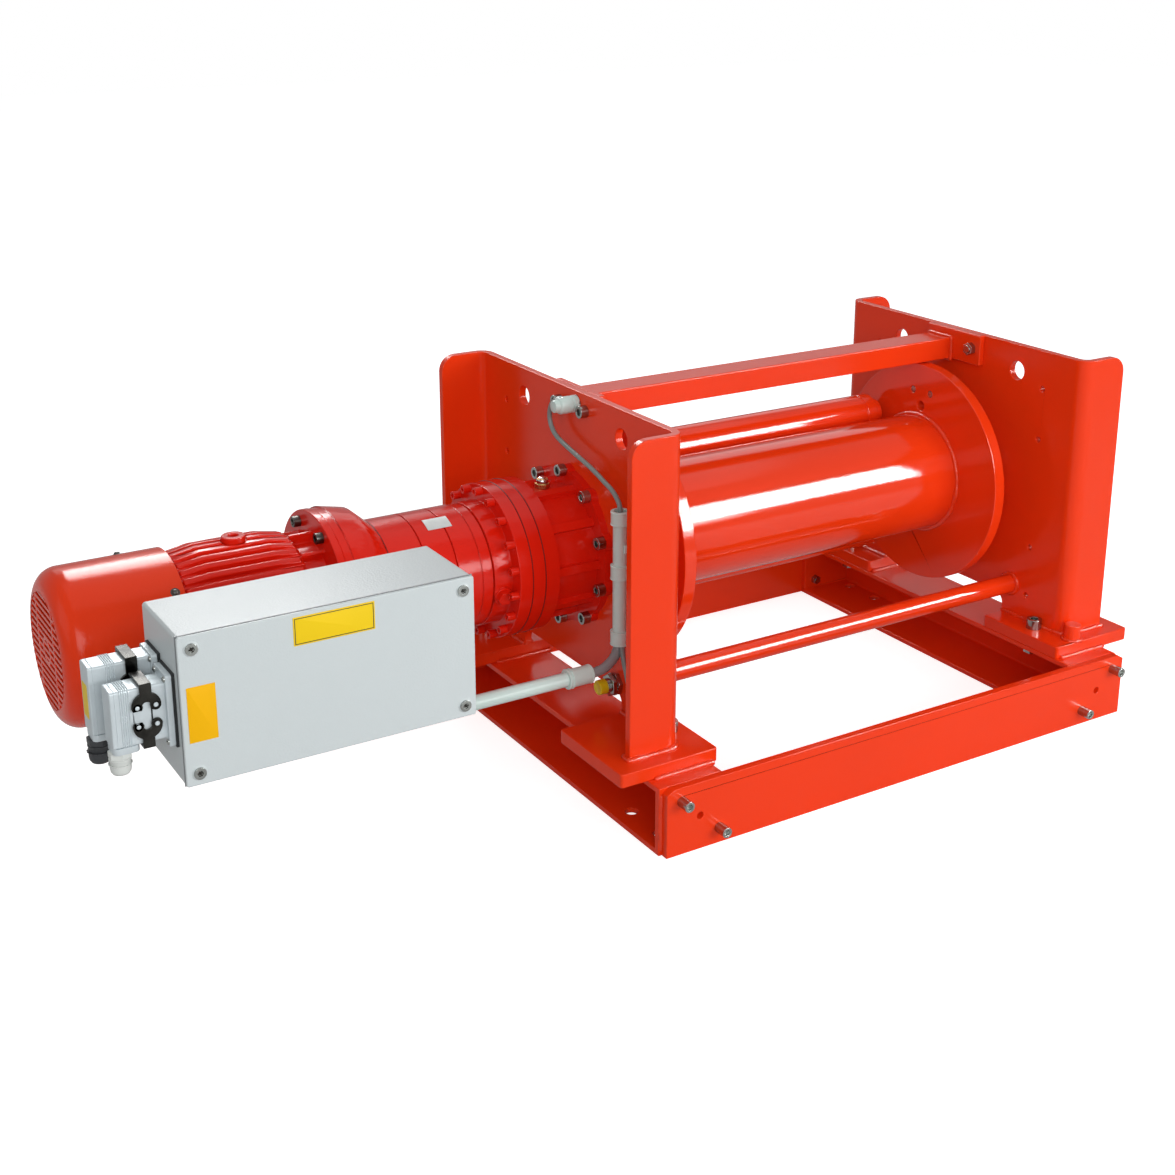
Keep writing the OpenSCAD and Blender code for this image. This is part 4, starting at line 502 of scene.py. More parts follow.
def cleaned(bm):
    """Merges doubles and turns the faces outwards."""
    bmesh.ops.remove_doubles(bm, verts=bm.verts, dist=MERGE)
    bmesh.ops.recalc_face_normals(bm, faces=bm.faces)
    return bm


def turned(profile, steps=40, closed=False):
    """A shape of revolution round Z from (radius, height) points in millimetres."""
    bm = bmesh.new()
    points = [bm.verts.new((radius * MM, 0, height * MM)) for radius, height in profile]
    pairs = list(zip(points, points[1:])) + ([(points[-1], points[0])] if closed else [])
    lines = [bm.edges.new(pair) for pair in pairs]
    bmesh.ops.spin(bm, geom=points + lines, angle=2 * math.pi, steps=steps, axis=(0, 0, 1), cent=(0, 0, 0),
                   use_merge=True)
    return cleaned(bm)


def raised(bm, height, edge=0.0):
    """Gives a flat shape on Z 0 its height and rounds its upper edges; sizes in millimetres."""
    made = bmesh.ops.extrude_face_region(bm, geom=bm.faces[:], use_keep_orig=True)
    top = [item for item in made["geom"] if isinstance(item, bmesh.types.BMVert)]
    bmesh.ops.translate(bm, vec=(0, 0, height * MM), verts=top)
    cleaned(bm)
    if edge:
        rim = [line for line in bm.edges
               if all(abs(point.co.z - height * MM) < MERGE for point in line.verts)]
        bmesh.ops.bevel(bm, geom=rim, offset=edge * MM, segments=2, profile=0.5, affect="EDGES", material=-1)
    return bm


def sheet_face(width, height):
    """A rectangle in XY with its middle at the origin; sizes in millimetres."""
    bm = bmesh.new()
    bmesh.ops.create_grid(bm, x_segments=1, y_segments=1, size=0.5,
                          matrix=Matrix.Diagonal((width * MM, height * MM, 1, 1)))
    return bm


def plate(width, height, thick, corner=0.0, edge=0.0):
    """A plate in XY with its back on Z 0, its corners and its front edge rounded; sizes in millimetres."""
    bm = sheet_face(width, height)
    if corner:
        bmesh.ops.bevel(bm, geom=bm.verts[:], offset=corner * MM, segments=4, profile=0.5,
                        affect="VERTICES", material=-1)
    return raised(bm, thick, edge)


def outline_strip(width, height, line, thick):
    """A thin rectangular frame on Z 0; sizes in millimetres."""
    bm = sheet_face(width, height)
    middle = bm.faces[:]
    bmesh.ops.inset_region(bm, faces=middle, thickness=line * MM, use_boundary=True, use_even_offset=True)
    bmesh.ops.delete(bm, geom=middle, context="FACES")
    return raised(bm, thick)


def hexagon(radius, height, edge=0.0):
    """A hexagonal prism on Z 0 with rounded upper edges; sizes in millimetres."""
    bm = bmesh.new()
    bmesh.ops.create_circle(bm, cap_ends=True, segments=6, radius=radius * MM)
    return raised(bm, height, edge)


def tube(points, radius, sides=12, swell=None, closed=False):
    """A round tube through points in metres; swell gives a factor of the radius at each point."""
    curve = bpy.data.curves.new("tube", "CURVE")
    curve.dimensions = "3D"
    curve.bevel_depth = radius
    curve.bevel_resolution = (sides - 4) // 2
    curve.use_fill_caps = not closed
    spline = curve.splines.new("POLY")
    spline.points.add(len(points) - 1)
    spline.use_cyclic_u = closed
    for index, (point, place) in enumerate(zip(spline.points, points)):
        point.co = (*place, 1)
        point.radius = swell[index] if swell else 1.0
    thing = bpy.data.objects.new("tube", curve)
    bpy.context.scene.collection.objects.link(thing)
    made = thing.evaluated_get(bpy.context.evaluated_depsgraph_get())
    bm = bmesh.new()
    bm.from_mesh(made.to_mesh())
    made.to_mesh_clear()
    bpy.data.objects.remove(thing)
    bpy.data.curves.remove(curve)
    return cleaned(bm)


def spread(points, step):
    """Points at an even step along a line of points."""
    points = [Vector(point) for point in points]
    placed = [points[0]]
    for start, end in zip(points, points[1:]):
        count = max(1, round((end - start).length / step))
        placed += [start.lerp(end, index / count) for index in range(1, count + 1)]
    return placed


def curved(points, steps):
    """A smooth line through points, with steps of it between each two."""
    points = [Vector(point) for point in points]
    placed = []
    for index in range(len(points) - 1):
        a, b = points[max(index - 1, 0)], points[index]
        c, d = points[index + 1], points[min(index + 2, len(points) - 1)]
        for count in range(steps):
            t = count / steps
            placed.append((2 * b + (c - a) * t + (2 * a - 5 * b + 4 * c - d) * t ** 2
                           + (3 * b - a - 3 * c + d) * t ** 3) / 2)
    return placed + [points[-1]]


def arc(middle, radius, start, end, across, up, count=24):
    """Points on an arc in the plane of across and up, from one angle to the other in degrees."""
    middle, across, up = Vector(middle), Vector(across), Vector(up)
    angles = [math.radians(start + (end - start) * index / count) for index in range(count + 1)]
    return [middle + radius * (math.cos(angle) * across + math.sin(angle) * up) for angle in angles]


def ring_line(middle, radius, across, up, count=72):
    """Points of a circle, for a closed line."""
    return arc(middle, radius, 0, 360, across, up, count)[:-1]


def axis_ring(x, radius, count=72):
    """Points of a circle round the drum axis, in metres."""
    return ring_line((x, 0, AXIS_Z), radius, (0, 1, 0), (0, 0, 1), count)


# Steps of a bead's line and of its ripples, in metres
BEAD_STEP = 0.0016
RIPPLE_STEP = 0.0044


def bead(points, radius, closed=False):
    """A weld bead with its ripples along a line of points in metres."""
    line = spread([*points, points[0]] if closed else points, BEAD_STEP)
    if closed:
        line = line[:-1]
    swell = []
    for index, place in enumerate(line):
        ripple = 0.09 * math.sin(index * BEAD_STEP / RIPPLE_STEP * 2 * math.pi)
        swell.append(1 + ripple + 0.35 * noise.noise(place * 55) + 0.12 * noise.noise(place * 240))
        place += noise.noise_vector(place * 90) * radius * 0.16
    if not closed:
        swell[0] = swell[-1] = 0.55
    return tube(line, radius, 8, swell, closed)


def islands(bm):
    """The loose shells of a mesh, each as a list of faces."""
    seen, shells = set(), []
    for first in bm.faces:
        if first in seen:
            continue
        seen.add(first)
        shell, queue = [], [first]
        while queue:
            face = queue.pop()
            shell.append(face)
            for line in face.edges:
                for other in line.link_faces:
                    if other not in seen:
                        seen.add(other)
                        queue.append(other)
        shells.append(shell)
    return shells


def spot(x, y, z):
    """A point given in millimetres."""
    return Vector((x, y, z)) * MM


def centre_of(faces):
    """The middle of the box round some faces."""
    points = [point.co for face in faces for point in face.verts]
    return Vector([(min(p[axis] for p in points) + max(p[axis] for p in points)) / 2 for axis in range(3)])


def piece(name, bm, finish, body="frame", replaces=(), smooth=40.0):
    """Makes a finished piece of bm that rides on body; finish is a name, or gives one for a centre."""
    names = [finish] if isinstance(finish, str) else []
    if not names:
        for shell in islands(bm):
            chosen = finish(centre_of(shell))
            if chosen not in names:
                names.append(chosen)
            for face in shell:
                face.material_index = names.index(chosen)
    mesh = bpy.data.meshes.new(name)
    bm.to_mesh(mesh)
    bm.free()
    thing = bpy.data.objects.new(name, mesh)
    bpy.context.scene.collection.objects.link(thing)
    for chosen in names:
        mesh.materials.append(MATERIALS[chosen])
    for face in mesh.polygons:
        face.use_smooth = True
    mesh.set_sharp_from_angle(angle=math.radians(smooth))
    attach(thing, body)
    if replaces:
        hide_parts(*replaces)
    return thing


def node_copy(node, keep=None):
    """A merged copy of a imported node's mesh, or of those of its shells that keep picks by their centres."""
    bm = bmesh.new()
    bm.from_mesh(frame["nodes"][node].data)
    bmesh.ops.remove_doubles(bm, verts=bm.verts, dist=MERGE)
    if keep:
        lost = [face for shell in islands(bm) if not keep(centre_of(shell)) for face in shell]
        bmesh.ops.delete(bm, geom=lost, context="FACES")
    bmesh.ops.dissolve_limit(bm, angle_limit=math.radians(0.6), verts=bm.verts, edges=bm.edges)
    return bm


def round_edges(thing, width, segments=2):
    """Rounds a piece's sharp edges by a width in metres."""
    bevel = thing.modifiers.new("edges", "BEVEL")
    bevel.width = width
    bevel.segments = segments
    bevel.limit_method = "ANGLE"
    bevel.angle_limit = math.radians(38)
    bevel.use_clamp_overlap = False
    bevel.harden_normals = True
    bevel.material = -1
    return thing


def soften(node, finish, width):
    """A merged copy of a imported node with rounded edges, which stands for it."""
    thing = piece(node + "_dress", node_copy(node), finish, BODY_OF[node], (node,))
    return round_edges(thing, width, 3 if node in BROAD_EDGES else 2)


def dress_nodes():
    """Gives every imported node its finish, on a copy with rounded edges or on its own mesh."""
    for node, (finish, width) in NODE_FINISH.items():
        if width:
            soften(node, finish, width * MM)
        else:
            thing = frame["nodes"][node]
            thing.data.materials.clear()
            thing.data.materials.append(MATERIALS[finish])


# Operators
def aimed(place, back):
    """The transform of a camera or lamp at place whose back side faces along back."""
    return Matrix.Translation(place) @ back.to_track_quat("Z", "Y").to_matrix().to_4x4()


class WINCH_OT_studio(Operator):
    """Add the camera, the floor, the world and the lamps"""
    bl_idname = "winch.studio"
    bl_label = "Studio"

    def execute(self, context):
        studio = context.scene.winch_studio
        data = bpy.data.cameras.new("camera")
        data.lens = studio.lens * 1000
        data.sensor_width = 36
        data.shift_y = studio.shift
        data.clip_end = 50
        camera = bpy.data.objects.new("camera", data)
        context.scene.collection.objects.link(camera)
        across, up = studio.azimuth, studio.elevation
        level = math.cos(up)
        back = Vector((math.sin(across) * level, -math.cos(across) * level, math.sin(up)))
        camera.matrix_world = aimed(studio.place, back)
        context.scene.camera = camera
        context.scene.view_settings.view_transform = "Standard"
        add_floor()
        add_world()
        add_lamps()
        return {"FINISHED"}


# Half the floor's side, in metres
FLOOR_HALF = 12.0


def ray_kinds(shop):
    """Whether a ray comes from the camera, from a glossy surface, or through a clear one."""
    path = shop.make("ShaderNodeLightPath")
    return path[0], path[3], path[6]


def add_floor():
    """The pale floor, which shows white to the camera and keeps the winch's shadow."""
    bm = bmesh.new()
    bmesh.ops.create_grid(bm, x_segments=1, y_segments=1, size=FLOOR_HALF)
    mesh = bpy.data.meshes.new("floor")
    bm.to_mesh(mesh)
    bm.free()
    floor = bpy.data.objects.new("floor", mesh)
    bpy.context.scene.collection.objects.link(floor)

    material = bpy.data.materials.new("floor_paper")
    material.use_nodes = True
    tree = material.node_tree
    shop = Shop(tree)
    camera_ray, glossy_ray, clear_ray = ray_kinds(shop)
    shader = tree.nodes["Principled BSDF"]
    shader.inputs["Roughness"].default_value = 0.9
    paper = shop.mix(camera_ray, (0.5, 0.5, 0.5), (0.86, 0.86, 0.86))
    tree.links.new(paper.socket, shader.inputs["Base Color"])
    shader.inputs["Emission Color"].default_value = (1, 1, 1, 1)
    seen = camera_ray * 0.75 + (glossy_ray + clear_ray) * 0.15
    tree.links.new(seen.socket, shader.inputs["Emission Strength"])
    mesh.materials.append(material)


def add_world():
    """A white background that lights the winch softly."""
    world = bpy.data.worlds.new("studio")
    bpy.context.scene.world = world
    world.use_nodes = True
    tree = world.node_tree
    shop = Shop(tree)
    camera_ray, glossy_ray, clear_ray = ray_kinds(shop)
    seen = (camera_ray + clear_ray).clamp()
    level = 0.28 + seen * 0.72 + glossy_ray * 0.1
    background = tree.nodes["Background"]
    background.inputs["Color"].default_value = (1, 1, 1, 1)
    tree.links.new(level.socket, background.inputs["Strength"])


def add_lamp(name, place, target, size, brightness, gloss_only=False):
    """A soft lamp whose face has a brightness, where 1 shows white; with gloss_only only gloss shows it."""
    data = bpy.data.lights.new(name, "AREA")
    data.shape = "RECTANGLE"
    data.size, data.size_y = size
    data.energy = brightness * math.pi * size[0] * size[1]
    lamp = bpy.data.objects.new(name, data)
    lamp.visible_camera = False
    lamp.visible_diffuse = not gloss_only
    bpy.context.scene.collection.objects.link(lamp)
    back = Vector(place) - Vector(target)
    lamp.matrix_world = aimed(place, back)


def add_lamps():
    """The lamps, with places, targets and sizes in metres."""
    add_lamp("strip_light", (1.27, -1.55, 1.09), (1.27, -0.09, 0.37), (1.25, 0.84), 27, True)
    add_lamp("front_light", (0.9, -3.0, 1.1), (0.0, -0.1, 0.33), (1.8, 0.9), 8.5)
    add_lamp("rim_light", (-0.3, 1.9, 2.2), (-1.05, 0.0, 0.43), (0.9, 1.2), 14, True)
    add_lamp("fill_light", (-2.2, -3.6, 2.0), (-0.3, -0.1, 0.3), (3.0, 2.0), 3.5)
    add_lamp("top_light", (0.0, 0.2, 3.2), (0.0, 0.0, 0.3), (4.0, 2.6), 0.4)
    add_lamp("back_light", (0.6, 2.7, 2.0), (-0.2, 0, 0.4), (4.2, 1.3), 0.9)
    add_lamp("left_light", (-3.6, 0.2, 1.5), (-0.4, 0, 0.3), (2.0, 1.6), 0.5)


class WINCH_OT_finishes(Operator):
    """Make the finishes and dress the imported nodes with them"""
    bl_idname = "winch.finishes"
    bl_label = "Finishes"

    def execute(self, context):
        make_materials(context.scene.winch_paint)
        dress_nodes()
        return {"FINISHED"}


def web_seam(across, side, seat):
    """Points round the foot of one flange of a side frame, from the web's outer face to its inner one."""
    web_in, tip, flange = FRAME_LOW.x / MM, FRAME_HIGH.x / MM, FRAME_HIGH.y / MM
    top = FRAME_LOW.z / MM + seat
    bend = (web_in + WEB_BEND_R, flange - WEB_BEND_R, top)
    inner = arc(bend, WEB_BEND_R - WEB_WALL - seat, 180, 90, (1, 0, 0), (0, 1, 0), 6)
    outer = arc(bend, WEB_BEND_R + seat, 90, 180, (1, 0, 0), (0, 1, 0), 8)
    line = [Vector((web_in + WEB_WALL + seat, FOOT_INNER_Y, top)), *inner,
            Vector((tip + seat, flange - WEB_WALL - seat, top)), Vector((tip + seat, flange + seat, top)),
            *outer, Vector((web_in - seat, FOOT_INNER_Y, top))]
    return [spot(across * point.x, side * point.y, point.z) for point in line]


class WINCH_OT_welds(Operator):
    """Add the weld beads of the frame and the drum"""
    bl_idname = "winch.welds"
    bl_label = "Weld beads"

    def execute(self, context):
        radius = context.scene.winch_sizes.bead
        slim, slimmest = radius * 0.9, radius * 0.8
        seat = radius * 0.25 / MM
        web_in, rail_z = FRAME_LOW.x / MM, RAIL_TOP / MM + seat
        seams = []
        for across in (-1, 1):
            for side in (-1, 1):
                seams.append(bead(web_seam(across, side, seat), radius))
                for y in (FOOT_INNER_Y - seat, FOOT_SIDE / MM + seat):
                    seams.append(bead([spot(across * x, side * y, rail_z) for x in FOOT_WELD_X], slim))
            for y in TIE_ROD_Y:
                ring = ring_line(spot(across * (web_in - seat), y, TIE_ROD_Z), (TIE_ROD_R + seat) * MM,
                                 (0, 1, 0), (0, 0, 1))
                seams.append(bead(ring, slim, True))
            x = across * (web_in - CROSS_BAR_PLATE - seat)
            front, rear = CROSS_BAR_Y[0] - seat, CROSS_BAR_Y[1] + seat
            low, high = CROSS_BAR_Z[0] - seat, CROSS_BAR_Z[1] + seat
            corners = ((front, low), (rear, low), (rear, high), (front, high))
            seams.append(bead([spot(x, y, z) for y, z in corners], slimmest, True))
            for side in (-1, 1):
                x, y = across * (BASE_END_X + seat), side * (BASE_INNER_Y - seat)
                seams.append(bead([spot(x, y, z) for z in BASE_CORNER_Z], slimmest))
        stub = spot(STUB_X, STUB_Y, FRAME_LOW.z / MM + seat)
        seams.append(bead(ring_line(stub, (STUB_R + seat) * MM, (1, 0, 0), (0, 1, 0)), slimmest, True))
        piece("frame_welds", gather(seams), "weld_red", smooth=70)

        drum = []
        for x in (BARREL_LOW.x + seat * MM, BARREL_HIGH.x - seat * MM):
            drum.append(bead(axis_ring(x, BARREL_R + seat * MM), radius, True))
        reach = (DRUM_FLANGE_WALL + seat) * MM
        for x in (BARREL_LOW.x - reach, BARREL_HIGH.x + reach):
            drum.append(bead(axis_ring(x, (HUB_PLATE_R + seat) * MM), slim, True))
        piece("drum_welds", gather(drum), "weld_red", "drum", smooth=70)
        return {"FINISHED"}


class WINCH_OT_box(Operator):
    """Add the control box's cover, a dark strip of painted shadow in its seam, its screws' seats, black
    crosses of painted shade in their slots, and its two blank plates
    """
    bl_idname = "winch.box"
    bl_label = "Control box"

    def execute(self, context):
        low, high = COVER_LOW / MM, COVER_HIGH / MM
        wide, tall, front = high.x - low.x, high.z - low.z, low.y
        middle_x, middle_z = (low.x + high.x) / 2, (low.z + high.z) / 2
        cover = moved(plate(wide, tall, high.y - front, 3), put(spot(middle_x, high.y, middle_z), "-Y"))
        cover = piece("box_cover_dress", cover, "box_grey", replaces=("box_cover",))
        round_edges(cover, 1.8 * MM, 3)

        corners = [(x, z) for x in (low.x + SCREW_INSET, high.x - SCREW_INSET)
                   for z in (low.z + SCREW_INSET, high.z - SCREW_INSET)]
        seat = turned([(5.7, -0.3), (5.7, 0.5), (6.1, 0.8), (7.6, 0.8), (8.6, 0.4), (9.2, -0.3)], 32, True)
        seats = copies(seat, [put(spot(x, front, z), "-Y") for x, z in corners])
        piece("box_screw_seats", seats, "box_grey")
        # Black crosses on the screw heads stand for the shade in their recessed slots: painted shade
        slot_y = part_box("cover_screws")[0].y / MM + SLOT_SINK
        cross = [moved(plate(5.4, 1.2, 0.5, 0.3), Matrix.Rotation(turn, 4, "Z"))
                 for turn in (SLOT_TURN, SLOT_TURN + math.pi / 2)]
        slots = copies(gather(cross), [put(spot(x, slot_y, z), "-Y") for x, z in corners])
        piece("box_screw_slot_shade", slots, "black_print_and_slot_shade")
        # A dark strip behind the cover stands for the fine shadow line that the cover casts: painted shadow
        seam = moved(outline_strip(wide + 0.5, tall + 0.5, 1.5, 1.6),
                     put(spot(middle_x, high.y + SEAM_BEHIND, middle_z), "-Y"))
        piece("box_seam_shadow", seam, "grey_sheath_and_seam_shadow")

        for name, finish, (x, z, width, height) in (("name_plate", "yellow_plate", NAME_PLATE),
                                                    ("end_plate", "orange_plate", END_PLATE)):
            blank = moved(plate(width, height, 0.7, 0.8, 0.25), put(spot(x, front, z), "-Y"))
            piece(name, blank, finish)
        x, z, width, height = NAME_PLATE
        border = outline_strip(width - 2 * BORDER_INSET, height - 2 * BORDER_INSET, 0.9, 0.15)
        border = moved(border, put(spot(x, front - 0.66, z), "-Y"))
        piece("name_plate_border", border, "black_print_and_slot_shade")
        return {"FINISHED"}


def loop_round(x, y, z, width, height, corner):
    """Points of a rounded rectangle across X, in millimetres."""
    line = []
    for across, up, start in ((1, 1, 0), (-1, 1, 90), (-1, -1, 180), (1, -1, 270)):
        middle = (x, y + across * (width / 2 - corner), z + up * (height / 2 - corner))
        line += arc(middle, corner, start, start + 90, (0, 1, 0), (0, 0, 1), 4)
    return [point * MM for point in line]


def gland(radius, length):
    """A cable gland that reaches down from Z 0, with hexagon and ribbed cap; sizes in millimetres."""
    cap = [(0, 0), (radius * 0.86, 0), (radius * 0.86, -8), (radius, -9), (radius, -10.5),
           (radius * 0.94, -11.5), (radius * 0.96, -length + 8), (radius * 0.9, -length + 3.6),
           (radius * 0.76, -length + 1), (radius * 0.56, -length), (radius * 0.5, -length + 1.5),
           (0, -length + 3)]
    ridge = moved(plate(1.3, length - 20, 0.9, 0, 0.3), put(spot(radius * 0.95, 0, -length / 2 - 1.5), "X"))
    turns = [Matrix.Rotation(2 * math.pi * index / GLAND_RIDGES, 4, "Z") for index in range(GLAND_RIDGES)]
    nut = moved(hexagon(radius * 1.06, 7, 0.8), Matrix.Translation((0, 0, -8 * MM)))
    return gather([turned(cap, 40), copies(ridge, turns), nut])


class WINCH_OT_connectors(Operator):
    """Add the connectors' ribs, seals, screws, screw marks, cable entries, glands and blank sticker"""
    bl_idname = "winch.connectors"
    bl_label = "Connectors"

    def execute(self, context):
        ribs, seals, screws, marks, entries = [], [], [], [], []
        head = [(0, 2.4), (1.6, 2.3), (2.9, 1.5), (3.4, 0), (3.4, -0.5), (0, -0.5)]
        mark = [(0, 0.25), (1.1, 0.25), (1.3, -0.4), (2.4, -0.4), (2.6, 0.35), (3.6, 0.5), (4.4, 0),
                (4.4, -0.5), (0, -0.5)]
        for y, z, wide, tall, reach in PLUGS:
            end = HOOD_FACE - reach
            for index in range(RIB_COUNT):
                x = HOOD_FACE - RIB_START - RIB_STEP * index
                ribs.append(tube(loop_round(x, y, z, wide + 0.4, tall + 0.4, 3.2), 0.8 * MM, 8, closed=True))
            line = loop_round(HOOD_FACE, y, z, wide - 1.4, tall - 1.4, 3)
            seals.append(tube(line, 1.1 * MM, 8, closed=True))
            for side, way in ((-1, "-Y"), (1, "Y")):
                for up in (-1, 1):
                    at = spot(BASE_FACE, y + side * FLANGE_SCREW_Y, z + up * FLANGE_SCREW_Z)
                    screws.append(moved(turned(head, 20), put(at, "-X")))
                at = spot(HOOD_FACE - reach * MARK_SHARE, y + side * wide / 2, z)
                marks.append(moved(turned(mark, 24), put(at, way)))
            line = loop_round(end + END_RIB, y, z, wide + 0.1, tall + 0.1, 3)
            ribs.append(tube(line, 0.5 * MM, 8, closed=True))
            entry = plate(wide - 1, wide - 1, 8, 6, 1.2)
            entries.append(moved(entry, put(spot(end + wide / 2, y, z - tall / 2), "-Z")))
        piece("connector_ribs", gather(ribs), "die_cast")
        piece("connector_entries", gather(entries), "die_cast")
        piece("connector_seals", gather(seals), "rubber")
        piece("connector_screws", gather(screws), "zinc")
        piece("connector_marks", gather(marks), "die_cast")
        y, z, width, height = STICKER
        sticker = moved(plate(width, height, 0.25, 1.5), put(spot(end, y, z), "-X"))
        piece("connector_sticker", sticker, "yellow_plate")
        for (name, finish, slot, radius, length), (y, z, wide, tall, reach) in zip(GLANDS, PLUGS):
            at = spot(HOOD_FACE - reach + GLAND_IN, y, z - tall / 2 - GLAND_DROP)
            thing = piece(name, moved(gland(radius, length), put(at)), finish)
            if name == "white_gland":
                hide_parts("glands")
        return {"FINISHED"}


def is_conduit(centre):
    """Whether a shell of the conduits' node is a conduit, between the sensor below and the plug above."""
    return SENSOR_TOP < centre.z < PLUG_LOW


class WINCH_OT_conduits(Operator):
    """Add the conduits with their couplers' rims, the hose, the two cables, the plug and the sensor"""
    bl_idname = "winch.conduits"
    bl_label = "Conduits and cables"

    def execute(self, context):
        runs = piece("conduit_runs", node_copy("conduits", is_conduit), "white_plastic",
                     replaces=("conduits",))
        round_edges(runs, 0.8 * MM)
        rim = [(10.2, 0), (13.6, 0), (14.3, 0.7), (14.3, 2.3), (13.6, 3), (10.2, 3)]
        slim = [(12.6, 0), (13.5, 0.3), (13.5, 1.6), (12.6, 2)]
        rims = [moved(turned(rim, 32, True), put(spot(x, LEVEL_Y, LEVEL_Z), "X")) for x in LEVEL_RIMS_X]
        rims.append(moved(turned(slim, 32, True), put(spot(LEVEL_MOUTH_X, LEVEL_Y, LEVEL_Z), "X")))
        for z in UPRIGHT_RIMS_Z:
            rims.append(moved(turned(slim, 32, True), put(spot(UPRIGHT_X, UPRIGHT_Y, z - 1))))
        piece("conduit_rims", gather(rims), "white_plastic")

        for name, route, radius, finish in CABLES:
            line = curved([spot(*point) for point in route], 6)
            run = tube(line, radius * MM, context.scene.winch_sizes.cable_sides)
            thing = piece(name, run, finish)
            if name == "hose":
                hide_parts("cables")

        self.add_plug()
        self.add_sensor()
        return {"FINISHED"}

    def add_plug(self):
        body = [(0, 0.2), (11.2, 0.2), (12.3, 1.2), (12.3, 8), (11.4, 9), (11.4, 11), (12.3, 12), (12.3, 27),
                (11.6, 29.5), (9.6, 31), (9.2, 36), (8.4, 38), (3, 39.2), (0, 39.4)]
        arm = [(0, 3), (8.6, 3), (8.6, 12), (7.6, 13), (7.6, 15), (8.3, 16), (8.3, 19.5), (6.4, 21),
               (4.2, 22), (0, 22)]
        screw = [(0, 1.6), (2.2, 1.4), (2.9, 0.6), (3, -0.5), (0, -0.5)]
        nut_at = spot(PLUG_NUT_X, PLUG_Y, PLUG_Z)
        plug = [moved(turned(body), put(nut_at, "-X")),
                moved(turned(arm), put(spot(PLUG_ARM_X, PLUG_Y, PLUG_Z), "Y"))]
        piece("sensor_plug_body", gather(plug), "white_plastic")
        nut = [moved(hexagon(13.2, 3.4, 0.6), put(nut_at, "-X", 0.3)),
               moved(turned(screw, 20), put(spot(*PLUG_SCREW)))]
        piece("sensor_plug_nut", gather(nut), "zinc")

    def add_sensor(self):
        thread = [(0, -22), (8.9, -22), (8.3, -21.5)]
        for height in range(-9, 24):
            thread += [(11, height), (10.4, height + 0.5)]
        thread += [(11, 24), (0, 24)]
        shell = [moved(turned(thread, 28), put(spot(SENSOR_BODY_X, SENSOR_Y, SENSOR_Z), "-X"))]
        for x, radius, height, turn in SENSOR_NUTS:
            shell.append(moved(hexagon(radius, height, 0.9), put(spot(x, SENSOR_Y, SENSOR_Z), "-X", turn)))
        washer = turned([(11, 0), (16.5, 0), (16.5, 1.4), (11, 1.4)], 32, True)
        shell.append(moved(washer, put(spot(SENSOR_WASHER_X, SENSOR_Y, SENSOR_Z), "-X")))
        piece("sensor_body", gather(shell), "zinc")
        cap = [(0, -1), (10.9, -1), (11, 0.5), (10.7, 10.4), (9.6, 11.4), (9, 11.5), (8.6, 11.2), (0, 11.2)]
        cap = moved(turned(cap, 32), put(spot(SENSOR_CAP_X, SENSOR_Y, SENSOR_Z), "-X"))
        piece("sensor_cap", cap, "yellow_cap")


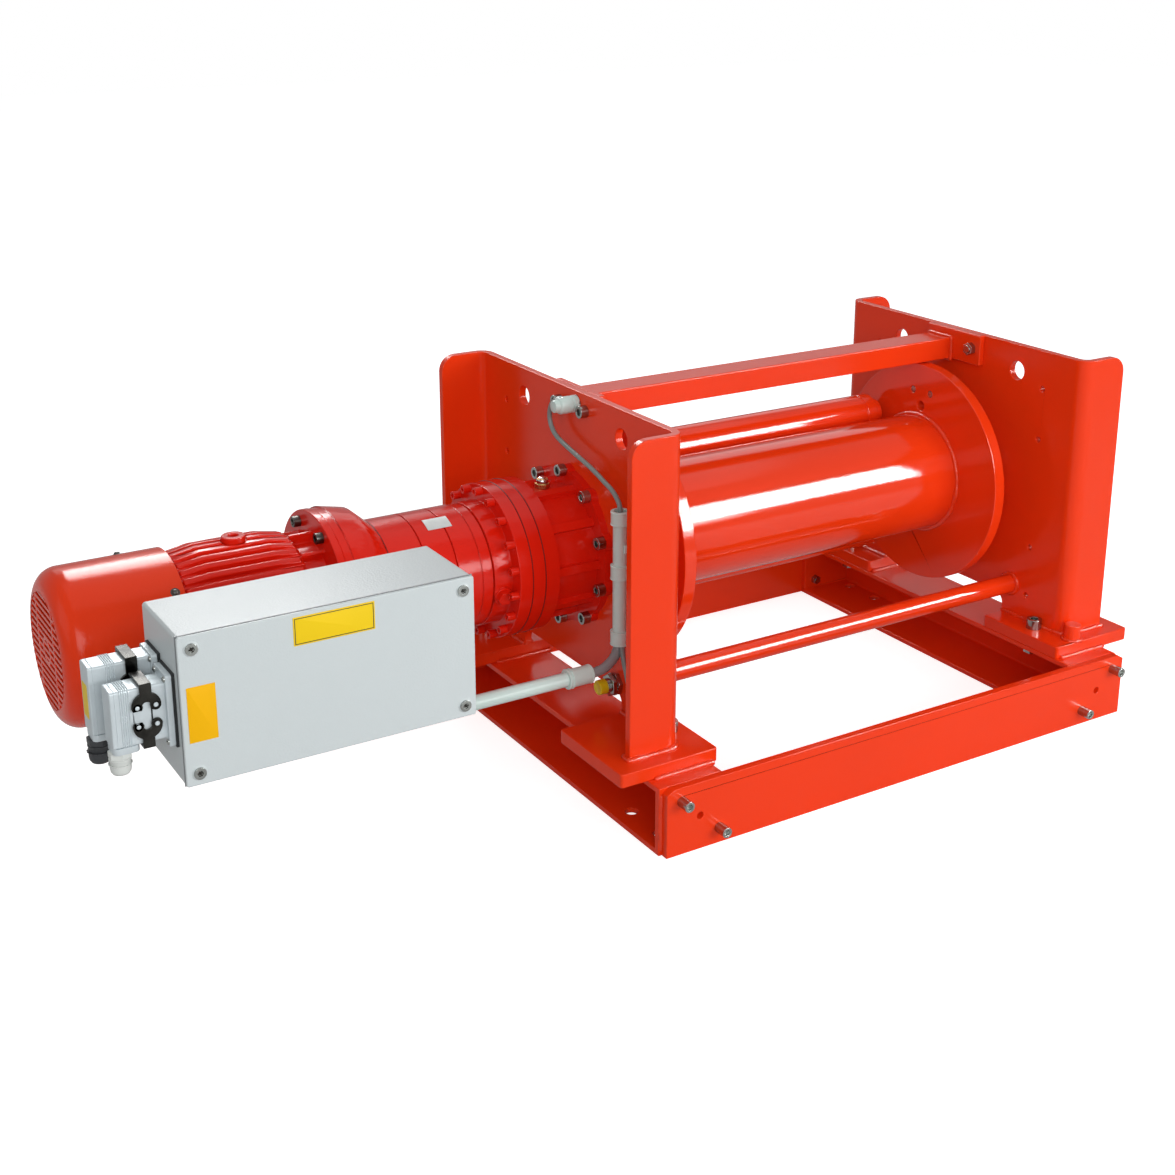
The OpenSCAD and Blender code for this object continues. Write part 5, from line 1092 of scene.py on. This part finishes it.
class WINCH_OT_gearbox(Operator):
    """Add the gearbox's blank plate, dark rings of painted shade in the seams between its sections, and the
    breather's cap
    """
    bl_idname = "winch.gearbox"
    bl_label = "Gearbox fittings"

    def execute(self, context):
        width, height = LABEL_SIZE
        skin = STAGE_SKIN_R * MM
        label = bmesh.new()
        bmesh.ops.create_grid(label, x_segments=1, y_segments=10, size=0.5,
                              matrix=Matrix.Diagonal((width * MM, height * MM, 1, 1)))
        bmesh.ops.solidify(label, geom=label.faces[:], thickness=-0.5 * MM)
        for point in label.verts:
            angle = math.radians(LABEL_ANGLE) - point.co.y / skin
            reach = skin + point.co.z
            point.co = Vector((point.co.x + LABEL_X * MM, -math.sin(angle) * reach,
                               AXIS_Z + math.cos(angle) * reach))
        piece("gearbox_plate", cleaned(label), "silver_plate")

        # Dark rings of painted shade stand for the shade in the gaps between the gearbox's sections
        seams = [tube(axis_ring(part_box(node)[end].x, (radius - 0.1) * MM, 96), 0.7 * MM, 8, closed=True)
                 for node, end, radius in SEAMS]
        piece("gearbox_seam_shade", gather(seams), "seam_shade_red")

        cap = [(0, 9.2), (4.5, 9.2), (5.6, 8.4), (5.6, 6.6), (8.3, 6.2), (8.9, 5.4), (8.9, 1.2), (8.3, 0),
               (0, 0)]
        piece("breather_cap", moved(turned(cap, 32), put(spot(*BREATHER))), "bright_steel")
        return {"FINISHED"}


class WINCH_OT_motor(Operator):
    """Add the fan cowl's screws"""
    bl_idname = "winch.motor"
    bl_label = "Motor fittings"

    def execute(self, context):
        head = [(0, 3.2), (2.2, 3.0), (3.6, 2.0), (4.2, 0.3), (6, 0.2), (6, -0.8), (0, -0.8)]
        screws = []
        for degrees, x in COWL_SCREWS:
            turn = Matrix.Translation((x * MM, 0, AXIS_Z)) @ Matrix.Rotation(math.radians(degrees), 4, "X")
            screws.append(moved(turned(head, 20), turn @ Matrix.Translation((0, 0, COWL_R * MM))))
        piece("cowl_screws", gather(screws), "dark_steel")
        return {"FINISHED"}


class WINCH_PT_panel(Panel):
    """Lists the steps of the dress and its settings"""
    bl_label = "Winch"
    bl_idname = "WINCH_PT_panel"
    bl_space_type = "VIEW_3D"
    bl_region_type = "UI"
    bl_category = "Winch"

    def draw(self, context):
        for step in STEPS:
            self.layout.operator(step.bl_idname)
        for group in (context.scene.winch_paint, context.scene.winch_sizes, context.scene.winch_studio):
            for name in group.__annotations__:
                self.layout.prop(group, name)


STEPS = (WINCH_OT_studio, WINCH_OT_finishes, WINCH_OT_welds, WINCH_OT_box, WINCH_OT_connectors,
         WINCH_OT_conduits, WINCH_OT_gearbox, WINCH_OT_motor)
GROUPS = {"winch_paint": WinchPaint, "winch_sizes": WinchSizes, "winch_studio": WinchStudio}


def register():
    for name, group in GROUPS.items():
        bpy.utils.register_class(group)
        setattr(bpy.types.Scene, name, PointerProperty(type=group))
    for step in (*STEPS, WINCH_PT_panel):
        bpy.utils.register_class(step)


def unregister():
    for step in (*STEPS, WINCH_PT_panel):
        bpy.utils.unregister_class(step)
    for name, group in GROUPS.items():
        delattr(bpy.types.Scene, name)
        bpy.utils.unregister_class(group)


def main():
    """Makes the dress step by step."""
    register()
    for step in STEPS:
        family, name = step.bl_idname.split(".")
        getattr(getattr(bpy.ops, family), name)()


if __name__ == "__main__":
    main()
